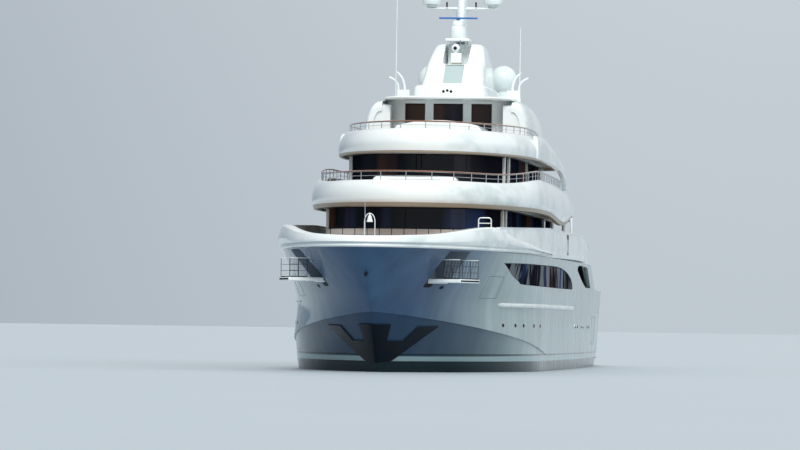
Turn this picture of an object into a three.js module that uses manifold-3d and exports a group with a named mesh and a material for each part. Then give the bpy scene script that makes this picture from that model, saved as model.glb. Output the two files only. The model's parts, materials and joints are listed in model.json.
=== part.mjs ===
// Motor yacht with four decks, a 1:10 model held at its waterline.
// Every size here is in metres of the full-size ship, and the last lines scale the group to millimetres.
// A place is given as aft (behind the stem head), port (from the centreline) and up (above the water).
import * as THREE from 'three';
import { mergeVertices } from 'three/addons/utils/BufferGeometryUtils.js';
import Module from 'manifold-3d';

const wasm = await Module();
wasm.setup();
const { lerp, clamp, smoothstep, degToRad } = THREE.MathUtils;

// Driving dimensions of the ship
const MM_PER_SHIP_METRE = 100;
const SEAT = 0.004;
const MIDSHIP = 42.5;
const KEEL_Z = -3.9;
const SHEER_Z = 6.63;
const MAIN_DECK_Z = 3.9;
const UPPER_DECK_Z = 6.9;
const BRIDGE_DECK_Z = 9.95;
const SUN_DECK_Z = 13.2;
const ROOF_Z = 16.1;
const ROOF_TOP_Z = 16.32;
const MAST_FOOT_Z = 18.5;
const MAST_TOP_Z = 25.2;
const WALL = 0.14;
const GLASS = 0.05;

// Finishes
const finish = (color, roughness, metalness) => (
  new THREE.MeshStandardMaterial({ color, roughness, metalness }));
const FINISHES = {
  white: finish(0xf2f6f6, 0.15, 0.0),
  hull: finish(0xd9e1e3, 0.12, 0.0),
  glass: finish(0x1a1d26, 0.05, 0.1),
  steel: finish(0xb9c0c4, 0.2, 0.9),
  darkSteel: finish(0x0d1a28, 0.15, 0.8),
  teak: finish(0xa5784f, 0.65, 0.0),
  bronze: finish(0xa9834a, 0.3, 0.8),
  blue: finish(0x1f5fae, 0.4, 0.1),
};

// Solids from loops, and manifold joins and cuts
const place = (aft, port, up) => new THREE.Vector3(MIDSHIP - aft, port, up);

function closedGeometry(points, faces) {
  const geometry = new THREE.BufferGeometry();
  const values = points.flatMap((p) => [p.x, p.y, p.z]);
  geometry.setAttribute('position', new THREE.Float32BufferAttribute(values, 3));
  let volume = 0;
  const normal = new THREE.Vector3();
  for (const [i, j, k] of faces) volume += points[i].dot(normal.crossVectors(points[j], points[k]));
  geometry.setIndex(faces.flatMap(([i, j, k]) => (volume < 0 ? [i, k, j] : [i, j, k])));
  return geometry;
}

// Joins equal loops point by point, and closes the first and last with the triangles given
function loftLoops(loops, capFaces) {
  const count = loops[0].length;
  const faces = [];
  for (let ring = 0; ring + 1 < loops.length; ring++) {
    for (let k = 0; k < count; k++) {
      const next = (k + 1) % count;
      const a = ring * count + k;
      const b = ring * count + next;
      faces.push([a, b, b + count], [a, b + count, a + count]);
    }
  }
  const last = (loops.length - 1) * count;
  for (const [i, j, k] of capFaces) faces.push([i, k, j], [last + i, last + j, last + k]);
  return closedGeometry(loops.flat(), faces);
}

// Cap for a loop that starts on the centreline and comes back by the mirrored points
function mirrorCap(count) {
  const faces = [[0, 1, count - 1]];
  for (let k = 1; k < (count - 1) / 2; k++) {
    faces.push([k, k + 1, count - k], [k + 1, count - k - 1, count - k]);
  }
  return faces;
}
const loftMirrored = (loops) => loftLoops(loops, mirrorCap(loops[0].length));
const mirrored = (portSide) => {
  const starboard = portSide.slice(1).reverse().map((p) => new THREE.Vector3(p.x, -p.y, p.z));
  return [...portSide, ...starboard];
};

// Carries one flat section through the given loops of equal order
function loftSections(section, loops) {
  return loftLoops(loops, THREE.ShapeUtils.triangulateShape(section, []));
}
const uv = (u, v) => new THREE.Vector2(u, v);

function prism(outline, toPoint, low, high) {
  const section = outline.map(([u, v]) => uv(u, v));
  return loftSections(section, [low, high].map((w) => outline.map(([u, v]) => toPoint(u, v, w))));
}
const athwartPrism = (outline, low, high) => (
  prism(outline, (aft, up, port) => place(aft, port, up), low, high));
const uprightPrism = (outline, low, high) => (
  prism(outline, (aft, port, up) => place(aft, port, up), low, high));
const foreAftPrism = (outline, low, high) => (
  prism(outline, (port, up, aft) => place(aft, port, up), low, high));

function block(aft, port, up) {
  const outline = [[aft[0], up[0]], [aft[1], up[0]], [aft[1], up[1]], [aft[0], up[1]]];
  return athwartPrism(outline, port[0], port[1]);
}

function solid(geometry) {
  const bare = geometry.clone();
  bare.deleteAttribute('normal');
  bare.deleteAttribute('uv');
  const merged = mergeVertices(bare, 1e-5);
  return new wasm.Manifold(new wasm.Mesh({
    numProp: 3,
    vertProperties: merged.attributes.position.array,
    triVerts: new Uint32Array(merged.index.array),
  }));
}

function meshGeometry(body) {
  const mesh = body.getMesh();
  const geometry = new THREE.BufferGeometry();
  geometry.setAttribute('position', new THREE.BufferAttribute(new Float32Array(mesh.vertProperties), 3));
  geometry.setIndex(new THREE.BufferAttribute(new Uint32Array(mesh.triVerts), 1));
  return geometry;
}
const join = (...bodies) => bodies.reduce((sum, body) => sum.add(body));
const cut = (body, ...tools) => tools.reduce((rest, tool) => rest.subtract(tool), body);

// Rods and tubes between two places, and along a chain of places
function rod(from, to, radius, sides = 8, endRadius = radius) {
  const length = from.distanceTo(to);
  const geometry = new THREE.CylinderGeometry(endRadius, radius, length, sides);
  const heading = to.clone().sub(from).normalize();
  const turn = new THREE.Quaternion().setFromUnitVectors(new THREE.Vector3(0, 1, 0), heading);
  return geometry.applyQuaternion(turn).translate(...from.clone().add(to).multiplyScalar(0.5).toArray());
}

function tubeAlong(path, radius, sides = 4) {
  const loops = path.map((p, i) => {
    const along = path[Math.min(i + 1, path.length - 1)].clone().sub(path[Math.max(i - 1, 0)]).normalize();
    const side = new THREE.Vector3(-along.y, along.x, 0).normalize();
    const over = new THREE.Vector3().crossVectors(along, side);
    return Array.from({ length: sides }, (_, k) => {
      const angle = (2 * Math.PI * (k + 0.5)) / sides;
      const [across, above] = [radius * Math.cos(angle), radius * Math.sin(angle)];
      return p.clone().addScaledVector(side, across).addScaledVector(over, above);
    });
  });
  const fan = Array.from({ length: sides - 2 }, (_, k) => [0, k + 1, k + 2]);
  return loftLoops(loops, fan);
}

const yacht = new THREE.Group();
function addPiece(name, shape, material, group = yacht) {
  const geometry = shape instanceof THREE.BufferGeometry ? shape : meshGeometry(shape);
  const mesh = new THREE.Mesh(geometry, material);
  mesh.name = name;
  group.add(mesh);
  return mesh;
}
const SIDES = [['port', 1], ['starboard', -1]];

// Hull lines: one row for each level, from the keel to the sheer
const HULL_STEPS = 20;
const FULL_AT = 30;
const RUN_AT = 50;
const HULL_LEVELS = [
  // level, up at the bow, amidships and stern, stem, stern end, half-breadth, entry length, fine, full,
  // stern half-breadth
  ['keel', -3.9, -3.9, -3.9, 11.2, 50.0, 1.3, 14, 1.8, 0.9, 0.3],
  ['floor', -3.5, -3.65, -3.3, 9.6, 56.0, 4.9, 26, 1.8, 1.05, 2.4],
  ['bilge', -2.6, -2.9, -2.3, 8.5, 62.0, 6.3, 29, 1.8, 1.0, 4.0],
  ['turn', -1.6, -1.7, -1.4, 7.7, 68.0, 6.75, 25, 1.9, 0.98, 4.9],
  ['low', -0.7, -0.7, -0.75, 7.2, 74.0, 6.85, 22, 1.95, 0.97, 5.3],
  ['water', 0.0, 0.0, -0.3, 6.8, 80.0, 6.9, 20.5, 2.0, 0.95, 5.5],
  ['boot', 0.7, 0.45, 0.4, 6.15, 80.0, 6.93, 20.5, 2.0, 0.92, 5.6],
  ['knuckle', 3.25, 0.95, 1.1, 3.75, 79.7, 6.95, 23, 2.05, 0.84, 5.75],
  ['main', 4.1, 3.9, 3.9, 2.6, 78.8, 6.97, 26.5, 2.0, 0.76, 6.0],
  ['flare', 5.05, 5.05, 5.05, 1.65, 78.4, 7.0, 26, 2.0, 0.685, 6.1],
  ['sheer', 6.63, 6.63, 6.63, 0.05, 77.8, 7.0, 28, 2.4, 0.52, 6.2],
].map(([level, upBow, upMid, upStern, stem, stern, beam, entry, fine, full, sternBeam]) => (
  { level, upBow, upMid, upStern, stem, stern, beam, entry, fine, full, sternBeam }));

const levelUp = (row, aft) => {
  const bow = lerp(row.upBow, row.upMid, clamp((aft - row.stem) / (FULL_AT - row.stem), 0, 1));
  return bow + (row.upStern - row.upMid) * clamp((aft - RUN_AT) / Math.max(row.stern - RUN_AT, 0.01), 0, 1);
};
const levelBreadth = (row, aft) => {
  const u = clamp((aft - row.stem) / row.entry, 0, 1);
  const v = clamp((aft - RUN_AT * 0.8) / (row.stern - RUN_AT * 0.8), 0, 1);
  const entry = (1 - (1 - u) ** row.fine) ** row.full;
  return row.beam * entry - (row.beam - row.sternBeam) * v ** 2.2;
};

// The hull as a stack of levels, its skin moved inwards by inset (outwards where inset is negative)
function hullBody(inset = 0) {
  const loops = HULL_LEVELS.map((row) => {
    const stem = row.stem + inset * 1.4;
    const stern = row.stern - inset;
    const port = [place(stem, 0, levelUp(row, row.stem))];
    for (let i = 1; i <= HULL_STEPS; i++) {
      const aft = lerp(stem, stern, (i / HULL_STEPS) ** 1.7);
      const along = lerp(row.stem, row.stern, (i / HULL_STEPS) ** 1.7);
      const breadth = Math.max(levelBreadth(row, along) - inset, 0.02 + 0.02 * i);
      port.push(place(aft, breadth, levelUp(row, along)));
    }
    return mirrored(port);
  });
  return solid(loftMirrored(loops));
}

// Half-breadth of the hull's skin at a place, between the two levels around it
function skin(aft, up) {
  const rows = HULL_LEVELS.map((row) => [levelUp(row, aft), levelBreadth(row, aft)]);
  const above = Math.max(rows.findIndex(([z]) => z >= up), 1);
  const [lowZ, lowB] = rows[above - 1];
  const [highZ, highB] = rows[above];
  return lerp(lowB, highB, clamp((up - lowZ) / (highZ - lowZ), 0, 1));
}
const sheerBreadth = (aft) => levelBreadth(HULL_LEVELS.at(-1), aft);

// Windows and openings in the hull's side, as outlines of aft and up
const BULWARK_TOP = 5.05;
const SALON_WINDOW = [
  [14.0, 6.05], [15.2, 5.78], [16.6, 5.43], [18.6, 5.08], [20.5, 4.92], [33, 4.88], [46.5, 4.9], [46.2, 5.25],
  [44.8, 5.6],
  [41.5, 5.95], [36, 6.15], [25, 6.12],
];
const SIDE_OPENING = [
  [50.2, 6.15], [52.6, 5.72], [55.0, 5.38], [57.5, 5.12], [62.8, 5.12],
  [58.9, 6.42], [52.0, 6.46], [50.6, 6.36],
];
const AFT_OPENING = [[68.2, BULWARK_TOP], [90, BULWARK_TOP], [90, 8], [62.9, 8], [62.9, 6.5]];
const WINDOW_DEPTH = 0.1;

// Fold-out mooring platforms, in a frame of their own: x along the hinge, y outwards, z up from the hinge
const PLATFORM = {
  aft: 6.6, port: 3.2, up: 4.85, turn: degToRad(-21), hinge: 0.056,
  inner: 0.04, outer: 1.98, half: 1.15, thick: 0.2, closes: degToRad(47),
};
const RAIL_FRAME = { inner: 0.95, outer: 1.9, high: 1.0, tube: 0.03, lift: 0.034, from: 1.08 };
const RECESS = { deep: -0.8, out: 4, half: 1.28, low: -0.06, high: 1.72 };

function platformFrame(side) {
  const frame = new THREE.Group();
  frame.position.copy(place(PLATFORM.aft, side * PLATFORM.port, PLATFORM.up));
  frame.rotation.z = side * PLATFORM.turn;
  frame.updateMatrix();
  return frame;
}

function recessTool(side) {
  const { deep, out, half, low, high } = RECESS;
  const tool = new THREE.BoxGeometry(2 * half, out - deep, high - low);
  tool.translate(0, side * ((out + deep) / 2), (low + high) / 2);
  return solid(tool.applyMatrix4(platformFrame(side).matrix));
}

// Running gear places, all given for the port side
const SHAFT_PORT = 2.7;
const PROPELLER = { aft: 74.2, up: -2.25, radius: 1.22, hub: 0.2, bore: 0.105 };
const SHAFT = { radius: 0.1, entryAft: 61.2, bracketAft: 73.3, barrel: 0.17 };
const RUDDER = { aft: 77.0, stock: 0.15, bore: 0.155, top: -0.3, root: -0.78, tip: -3.25 };
const FIN = {
  aft: 44.0, port: 6.3, up: -2.6, tilt: degToRad(-38), stock: 0.14, bore: 0.145, root: 0.42, tip: 2.2,
};

function finFrame(side) {
  const frame = new THREE.Group();
  frame.position.copy(place(FIN.aft, side * FIN.port, FIN.up));
  frame.rotation.x = side * FIN.tilt;
  frame.updateMatrix();
  return frame;
}

// Stern: the transom's garage, stairs and swim platform
const ABAFT = 82;
const GARAGE = { fore: 74.6, half: 2.7, floor: 0.95, head: 3.3 };
const DOOR = { half: 2.95, low: 0.86, high: 3.5, thick: 0.14, lowAft: 79.56, highAft: 78.76, hinge: 0.056 };
const DOOR_SEAT = { lowAft: 79.34, highAft: 78.52, gap: 0.06 };
const STAIR = { inner: 3.7, outer: 5.1, fore: 75.4, aft: 79.3, foot: 0.75, steps: 10 };

// Forms joined to the hull's shell or cut from it
const DECK_WELL = { fore: 50, aft: 77.6, wall: 0.2 };
const BULB = { aft: 8.9, up: -2.45, long: 3.4, wide: 0.95, high: 1.05 };
const THRUSTER = { aft: 12.4, up: -1.9, radius: 0.62 };
const SKEG = { half: 0.22, outline: [[47, KEEL_Z], [66.5, -2.9], [68, -1.6], [60, -2], [47, -3]] };
// Where a cutting shape ends, well clear of the hull
const BEYOND = 9;

// The hull
function buildHull() {
  const wholeBeam = [-BEYOND, BEYOND];
  const well = block([DECK_WELL.fore, DECK_WELL.aft], wholeBeam, [MAIN_DECK_Z, BEYOND]);
  const deckWell = hullBody(DECK_WELL.wall).intersect(solid(well));
  const openings = [SIDE_OPENING, AFT_OPENING].map((outline) => solid(athwartPrism(outline, ...wholeBeam)));
  const windows = solid(athwartPrism(SALON_WINDOW, ...wholeBeam)).subtract(hullBody(WINDOW_DEPTH));
  const bulb = new THREE.SphereGeometry(1, 16, 12).scale(BULB.long, BULB.wide, BULB.high);
  const skeg = athwartPrism(SKEG.outline, -SKEG.half, SKEG.half);
  const tunnelEnds = wholeBeam.map((port) => place(THRUSTER.aft, port, THRUSTER.up));
  const thruster = rod(...tunnelEnds, THRUSTER.radius, 16);
  const garage = block([GARAGE.fore, ABAFT], [-GARAGE.half, GARAGE.half], [GARAGE.floor, GARAGE.head]);
  const [seatLow, seatHigh] = [DOOR.low - DOOR_SEAT.gap, DOOR.high + DOOR_SEAT.gap];
  const seatOutline = [
    [DOOR_SEAT.lowAft, seatLow], [ABAFT, seatLow], [ABAFT, seatHigh], [DOOR_SEAT.highAft, seatHigh]];
  const seatHalf = DOOR.half + DOOR_SEAT.gap;
  const doorSeat = athwartPrism(seatOutline, -seatHalf, seatHalf);
  const stairWells = SIDES.map(([, side]) => {
    const [inner, outer] = [STAIR.inner, STAIR.outer].map((port) => side * port).sort((a, b) => a - b);
    return solid(block([STAIR.fore, ABAFT], [inner, outer], [STAIR.foot, BEYOND]));
  });
  const bores = SIDES.flatMap(([, side]) => {
    const stockEnds = [-2, 0].map((up) => place(RUDDER.aft, side * SHAFT_PORT, up));
    const fin = new THREE.CylinderGeometry(FIN.bore, FIN.bore, 1.6, 16).translate(0, side * 0.2, 0);
    return [solid(rod(...stockEnds, RUDDER.bore, 16)), solid(fin.applyMatrix4(finFrame(side).matrix))];
  });
  bulb.translate(...place(BULB.aft, 0, BULB.up).toArray());
  const shell = join(hullBody(), solid(bulb), solid(skeg));
  return cut(shell, deckWell, ...openings, windows, ...SIDES.map(([, side]) => recessTool(side)),
    solid(thruster), solid(garage), solid(doorSeat), ...stairWells, ...bores);
}
addPiece('hull', buildHull(), FINISHES.hull);

// The skin with a seat's gap round it, which trims what lies against the hull
const hullShell = hullBody(-SEAT);

// Dark glass set in the salon windows
const windowSlab = hullBody(0.03).subtract(hullBody(WINDOW_DEPTH - SEAT));
const windowOutline = SALON_WINDOW.map(([aft, up]) => [
  lerp(aft, 30, 0.004), lerp(up, 5.5, 0.012)]);
for (const [name, side] of SIDES) {
  const pane = solid(athwartPrism(windowOutline, ...(side > 0 ? [2, 9] : [-9, -2])));
  addPiece(`hull_window_${name}`, pane.intersect(windowSlab), FINISHES.glass);
}

// Dark steel plates round the stem, seen from ahead as port and up
const STEM_PLATE = [
  [0, 0.5], [0.75, 0.62], [3.06, 2.5], [2.15, 2.46], [1.38, 1.68], [0.6, 1.68], [0.88, 2.56], [0, 2.56],
];
const plateOutline = [...STEM_PLATE, ...STEM_PLATE.slice(1, -1).reverse().map(([port, up]) => [-port, up])];
const plateZone = solid(foreAftPrism(plateOutline, 0, 13));
addPiece('stem_plates', plateZone.intersect(hullBody(-0.05)).subtract(hullShell), FINISHES.darkSteel);

// Rub rails: a half-round strake carried along the skin
const RUB_RAIL = { fore: 15.8, end: 47.3, up: 3.75, high: 0.14, proud: 0.14, steps: 18 };
for (const [name, side] of SIDES) {
  const { proud, high } = RUB_RAIL;
  const section = [[-0.1, -high], [proud, -0.06], [proud, 0.06], [-0.1, high]];
  const loops = Array.from({ length: RUB_RAIL.steps + 1 }, (_, i) => {
    const aft = lerp(RUB_RAIL.fore, RUB_RAIL.end, i / RUB_RAIL.steps);
    const base = skin(aft, RUB_RAIL.up);
    return section.map(([out, up]) => place(aft, side * (base + out), RUB_RAIL.up + up));
  });
  const strake = solid(loftSections(section.map(([u, v]) => uv(u, v)), loops));
  addPiece(`rub_rail_${name}`, strake.subtract(hullShell), FINISHES.white);
}

// White wing-like band round the bow, from tip to tip
const BAND = { tip: 30.5, steps: 30, clearFrom: 9.5, clearBy: 11.4, bowTop: 7.25, lowAtTip: 6.72 };
const BAND_CREST = [
  // aft, up: from the crest down to the tip
  [10.5, 7.96], [11.8, 7.87], [15.5, 7.45], [20.5, 7.2], [24.1, 7.02], [BAND.tip, 6.9],
];
function fromTable(table, at) {
  const next = clamp(table.findIndex(([start]) => start >= at), 1, table.length - 1);
  const [[low, lowValue], [high, highValue]] = [table[next - 1], table[next]];
  return lerp(lowValue, highValue, clamp((at - low) / (high - low), 0, 1));
}
const [crestAft, crestUp] = BAND_CREST[0];
const bandTop = (aft) => (aft < crestAft
  ? lerp(BAND.bowTop, crestUp, smoothstep(aft, 0, crestAft)) : fromTable(BAND_CREST, aft));
const bandLow = (aft) => (
  lerp(SHEER_Z + SEAT, BAND.lowAtTip, clamp((aft - BAND.clearBy) / (BAND.tip - BAND.clearBy), 0, 1)));
function bandSection(aft) {
  const inner = lerp(-0.3, 0.03, clamp((aft - BAND.clearFrom) / (BAND.clearBy - BAND.clearFrom), 0, 1));
  const low = bandLow(aft);
  const top = bandTop(aft);
  return [
    [inner, low], [0.06, low], [0.2, low + 0.03], [0.34, lerp(low, top, 0.3)], [0.26, lerp(low, top, 0.75)],
    [0.12, top], [Math.max(inner, -0.12), top], [inner, top - 0.06]];
}
const outward = (aft) => {
  const slope = (sheerBreadth(aft + 0.05) - sheerBreadth(Math.max(aft - 0.05, 0.06))) / 0.1;
  return new THREE.Vector2(-slope, 1).normalize();
};
function bandLoop(aft, side) {
  const out = aft < 0.4 ? uv(-1, 0) : outward(aft);
  const breadth = aft < 0.4 ? 0 : sheerBreadth(aft);
  const from = aft < 0.4 ? 0.05 : aft;
  return bandSection(aft).map(([off, up]) => place(from + off * out.x, side * (breadth + off * out.y), up));
}
const bandStations = Array.from({ length: BAND.steps }, (_, i) => (
  lerp(0.45, BAND.tip, ((i + 1) / BAND.steps) ** 1.9)));
const bandLoops = [
  ...bandStations.slice().reverse().map((aft) => bandLoop(aft, -1)), bandLoop(0, 1),
  ...bandStations.map((aft) => bandLoop(aft, 1)),
];
addPiece('bow_band', loftSections(bandSection(5).map(([u, v]) => uv(u, v)), bandLoops), FINISHES.white);

// Upper-deck bulwarks behind the band, with a rounded after end
const BULWARK = { fore: 12.3, end: 61.5, low: SHEER_Z + SEAT, steps: 24, thick: 0.24 };
const bulwarkTop = (aft) => lerp(crestUp, 8.3, clamp((aft - BULWARK.fore) / 18, 0, 1))
  - 0.75 * clamp((aft - 53) / 8.5, 0, 1) ** 2;
const bulwarkLow = (aft) => BULWARK.low + 0.54 * clamp((aft - 57) / 4.5, 0, 1) ** 2;
for (const [name, side] of SIDES) {
  const loops = Array.from({ length: BULWARK.steps + 1 }, (_, i) => {
    const aft = lerp(BULWARK.fore, BULWARK.end, i / BULWARK.steps);
    const outer = sheerBreadth(aft);
    const [low, top] = [bulwarkLow(aft), bulwarkTop(aft)];
    return [[outer - BULWARK.thick, low], [outer, low], [outer + 0.02, lerp(low, top, 0.5)],
      [outer - 0.04, top], [outer - BULWARK.thick, top]].map(([port, up]) => place(aft, side * port, up));
  });
  const section = [uv(0, 0), uv(1, 0), uv(1, 1), uv(1, 2), uv(0, 2)];
  addPiece(`side_bulwark_${name}`, loftSections(section, loops), FINISHES.white);
}

// Plan outline of a deck or house: a rounded nose, straight sides and a rounded tail
const NOSE_STEPS = 9;
const SIDE_STEPS = 6;
const TAIL_STEPS = 3;
function planHalf({ nose, shoulder, beam, tail, tailBeam, corner, blunt = 1 }, inset = 0) {
  const port = [];
  for (let i = 0; i <= NOSE_STEPS; i++) {
    const angle = (i / NOSE_STEPS) * (Math.PI / 2);
    const reach = Math.cos(angle) ** blunt;
    port.push([shoulder - (shoulder - nose - inset) * reach, (beam - inset) * Math.sin(angle) ** blunt]);
  }
  const cornerAft = tail - inset - corner;
  for (let i = 1; i <= SIDE_STEPS; i++) {
    const along = i / SIDE_STEPS;
    port.push([lerp(shoulder, cornerAft, along), lerp(beam, tailBeam, along ** 2) - inset]);
  }
  for (let i = 1; i <= TAIL_STEPS; i++) {
    const angle = (i / TAIL_STEPS) * (Math.PI / 2);
    port.push([cornerAft + corner * Math.sin(angle), tailBeam - inset - corner * (1 - Math.cos(angle))]);
  }
  return port;
}
// Each level is an inset and a height, which may change along the ship
function planStack(plan, levels) {
  return solid(loftMirrored(levels.map(([inset, up]) => mirrored(
    planHalf(plan, inset).map(([aft, port]) => place(aft, port, typeof up === 'function' ? up(aft) : up))))));
}

// Upper deck: teak from the bow to the after overhang
const UPPER_DECK = { nose: 1.6, inset: 0.36, aftEdge: 68 };
function buildUpperDeck() {
  const port = [];
  port.push([UPPER_DECK.nose, 0]);
  for (let i = 1; i <= HULL_STEPS; i++) {
    const along = lerp(1, UPPER_DECK.aftEdge - 3, (i / HULL_STEPS) ** 1.5);
    const out = outward(along);
    port.push([along - UPPER_DECK.inset * out.x, sheerBreadth(along) - UPPER_DECK.inset * out.y]);
  }
  const [, sideBreadth] = port.at(-1);
  for (let i = 1; i <= TAIL_STEPS; i++) {
    const angle = (i / TAIL_STEPS) * (Math.PI / 2);
    port.push([UPPER_DECK.aftEdge - 3 + 3 * Math.sin(angle), sideBreadth - 3 * (1 - Math.cos(angle))]);
  }
  const levels = [SHEER_Z + SEAT, UPPER_DECK_Z];
  return solid(loftMirrored(levels.map((up) => mirrored(port.map(([aft, out]) => place(aft, out, up))))));
}
addPiece('upper_deck', buildUpperDeck(), FINISHES.teak);

// Deckhouses: hollow, with walls, a band of cut windows and glass behind it
function sidePosts(posts, low, high) {
  return posts.flatMap(([aft, width]) => SIDES.map(([, side]) => {
    const [inner, outer] = [side * 1.5, side * 9].sort((a, b) => a - b);
    return solid(block([aft - width / 2, aft + width / 2], [inner, outer], [low - 1, high + 1]));
  }));
}
function frontPosts(posts, low, high) {
  return posts.map(([port, width, aft]) => (
    solid(block([0, aft], [port - width / 2, port + width / 2], [low - 1, high + 1]))));
}
function buildHouse(house) {
  const { plan, low, high, sill, head, windowEnd, door } = house;
  const outer = planStack(plan, [[0, low], [0, high]]);
  const inner = planStack(plan, [[WALL, low - 1], [WALL, high + 1]]);
  const zone = solid(block([0, windowEnd], [-9, 9], [sill, head]));
  const posts = [...sidePosts(house.sidePosts, low, high), ...frontPosts(house.frontPosts, low, high)];
  const windows = cut(zone, ...posts);
  const doorway = solid(block([windowEnd + 0.3, 90], [-door.half, door.half], [low - 0.5, door.head]));
  return cut(outer, inner, windows, doorway);
}
function buildGlass({ plan, sill, head, windowEnd }) {
  const near = WALL + SEAT;
  const outer = planStack(plan, [[near, sill - 0.12], [near, head + 0.06]]);
  const inner = planStack(plan, [[near + GLASS, sill - 1], [near + GLASS, head + 1]]);
  return cut(outer, inner, solid(block([windowEnd + 0.2, 90], [-9, 9], [-9, 30])));
}
const HOUSES = {
  upper: {
    plan: { nose: 18.0, shoulder: 27, beam: 5.4, tail: 56, tailBeam: 5.0, corner: 0.8, blunt: 0.75 },
    low: UPPER_DECK_Z + SEAT, high: 9.35 - SEAT, sill: 7.96, head: 9.2, windowEnd: 53.5,
    sidePosts: [[22.6, 0.14], [23.3, 0.14], [46.5, 0.9]], frontPosts: [],
    door: { half: 1.5, head: 9.1 },
  },
  bridge: {
    plan: { nose: 24.0, shoulder: 33, beam: 4.95, tail: 50.5, tailBeam: 4.8, corner: 0.6, blunt: 0.8 },
    low: BRIDGE_DECK_Z + SEAT, high: 12.6 - SEAT, sill: 10.67, head: 12.42, windowEnd: 47.4,
    sidePosts: [[28.4, 0.16], [29.3, 0.16], [38, 0.12]], frontPosts: [],
    door: { half: 1.3, head: 12.2 },
  },
  sun: {
    plan: { nose: 38.7, shoulder: 40.6, beam: 3.9, tail: 50, tailBeam: 3.7, corner: 0.5, blunt: 0.45 },
    low: SUN_DECK_Z + SEAT, high: ROOF_Z - SEAT, sill: 14.05, head: 15.95, windowEnd: 47.6,
    sidePosts: [[40.2, 1.7], [44.4, 0.14]],
    frontPosts: [[1.15, 0.5, 40], [-1.15, 0.5, 40], [3.4, 1.52, 42], [-3.4, 1.52, 42]],
    door: { half: 1.1, head: 15.6 },
  },
  main: {
    plan: { nose: 50.5, shoulder: 51.2, beam: 5.1, tail: 63, tailBeam: 5.1, corner: 0.5, blunt: 0.4 },
    low: MAIN_DECK_Z + SEAT, high: SHEER_Z - SEAT, sill: 4.75, head: 6.2, windowEnd: 61,
    sidePosts: [[51.5, 2.2], [56.6, 0.14]], frontPosts: [[0, 11, 51.6]],
    door: { half: 1.5, head: 6.3 },
  },
};
for (const [name, house] of Object.entries(HOUSES)) {
  addPiece(`${name}_house`, buildHouse(house), FINISHES.white);
  addPiece(`${name}_glass`, buildGlass(house), FINISHES.glass);
}

// Sliding doors in the after ends of two houses
const SLIDING = { overlap: 0.1, thick: 0.06 };
for (const name of ['main', 'upper']) {
  const { plan, low, door } = HOUSES[name];
  for (const [sideName, side] of SIDES) {
    const aft = plan.tail - WALL - 0.06;
    const ports = [side * 0.03, side * (door.half + SLIDING.overlap)].sort((a, b) => a - b);
    const leaf = block([aft - SLIDING.thick, aft], ports, [low, door.head + 0.12]);
    addPiece(`${name}_door_${sideName}`, leaf, FINISHES.glass);
  }
}

// Bridge deck: a slab with a deep white brow, its lower and upper edges drawn by height along the ship
const BRIDGE_PLAN = { nose: 15.5, shoulder: 30, beam: 6.7, tail: 62, tailBeam: 5.9, corner: 3.2 };
const BRIDGE_SOFFIT_Z = 9.35;
const bridgeLow = (aft) => 9.44 - 0.34 * smoothstep(aft, 34, 45) + 0.72 * smoothstep(aft, 46, 61);
const bridgeTop = (aft) => 10.67 + 0.55 * smoothstep(aft, 20, 33) - 1.1 * smoothstep(aft, 52.5, 62);
const bridgeLip = (aft) => Math.min(bridgeLow(aft) - 0.26, BRIDGE_SOFFIT_Z);
const BRIDGE_SECTION = [
  // inset from the plan, up
  [1.3, BRIDGE_SOFFIT_Z], [0.42, BRIDGE_SOFFIT_Z], [0.36, bridgeLip], [0.14, (aft) => bridgeLip(aft) + 0.01],
  [0.05, bridgeLow], [0.0, (aft) => lerp(bridgeLow(aft), bridgeTop(aft), 0.35)],
  [0.2, (aft) => lerp(bridgeLow(aft), bridgeTop(aft), 0.8)], [0.42, bridgeTop], [0.7, bridgeTop],
  [0.8, BRIDGE_DECK_Z],
];
// Two posts carry the deck's after end
const DECK_POST = { aft: 58.5, port: 5.3, radius: 0.12 };
const deckPosts = SIDES.map(([, side]) => {
  const [foot, head] = [UPPER_DECK_Z + SEAT, BRIDGE_SOFFIT_Z + 0.2].map((up) => (
    place(DECK_POST.aft, side * DECK_POST.port, up)));
  return solid(rod(foot, head, DECK_POST.radius, 12));
});
addPiece('bridge_deck', join(planStack(BRIDGE_PLAN, BRIDGE_SECTION), ...deckPosts), FINISHES.white);

// Sun deck: a brow of the same kind, with an arch swept down each side to the bridge deck's bulwark
const sunTop = (aft) => 13.83 + 0.08 * smoothstep(aft, 26, 36) - 0.5 * smoothstep(aft, 38, 46);
const SUN_PLAN = { nose: 22.3, shoulder: 35, beam: 5.9, tail: 54, tailBeam: 5.7, corner: 2.4 };
const ARCH_EDGES = [
  // aft, lower edge, upper edge, port
  [35, 12.52, 13.8, 5.98], [38, 12.5, 13.86, 6.02], [40.5, 12.48, 13.72, 6.06], [43, 12.42, 13.45, 6.1],
  [45.8, 12.3, 13.12, 6.12], [48.3, 12.12, 12.75, 6.12], [50.5, 11.86, 12.36, 6.1], [52, 11.45, 11.95, 6.08],
  [52.6, 11.26, 11.6, 6.06],
].map(([aft, low, top, port]) => ({ aft, low, top, port }));
const ARCH_THICK = 0.3;
function buildArch(side) {
  const loops = ARCH_EDGES.map(({ aft, low, top, port }) => (
    [[port - ARCH_THICK, low], [port, low], [port, lerp(low, top, 0.6)], [port - 0.14, top],
      [port - ARCH_THICK, top]].map(([out, up]) => place(aft, side * out, up))));
  return solid(loftSections([uv(0, 0), uv(1, 0), uv(1, 1), uv(1, 2), uv(0, 2)], loops));
}
const SUN_SECTION = [
  // inset from the plan, up
  [1.2, 12.6], [0.3, 12.6], [0.24, 12.42], [0.1, 12.4], [0.02, 12.55], [0.0, 12.9],
  [0.3, (aft) => sunTop(aft) - 0.22], [0.55, sunTop], [0.8, sunTop], [0.9, SUN_DECK_Z],
];
const arches = SIDES.map(([, side]) => buildArch(side));
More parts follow.
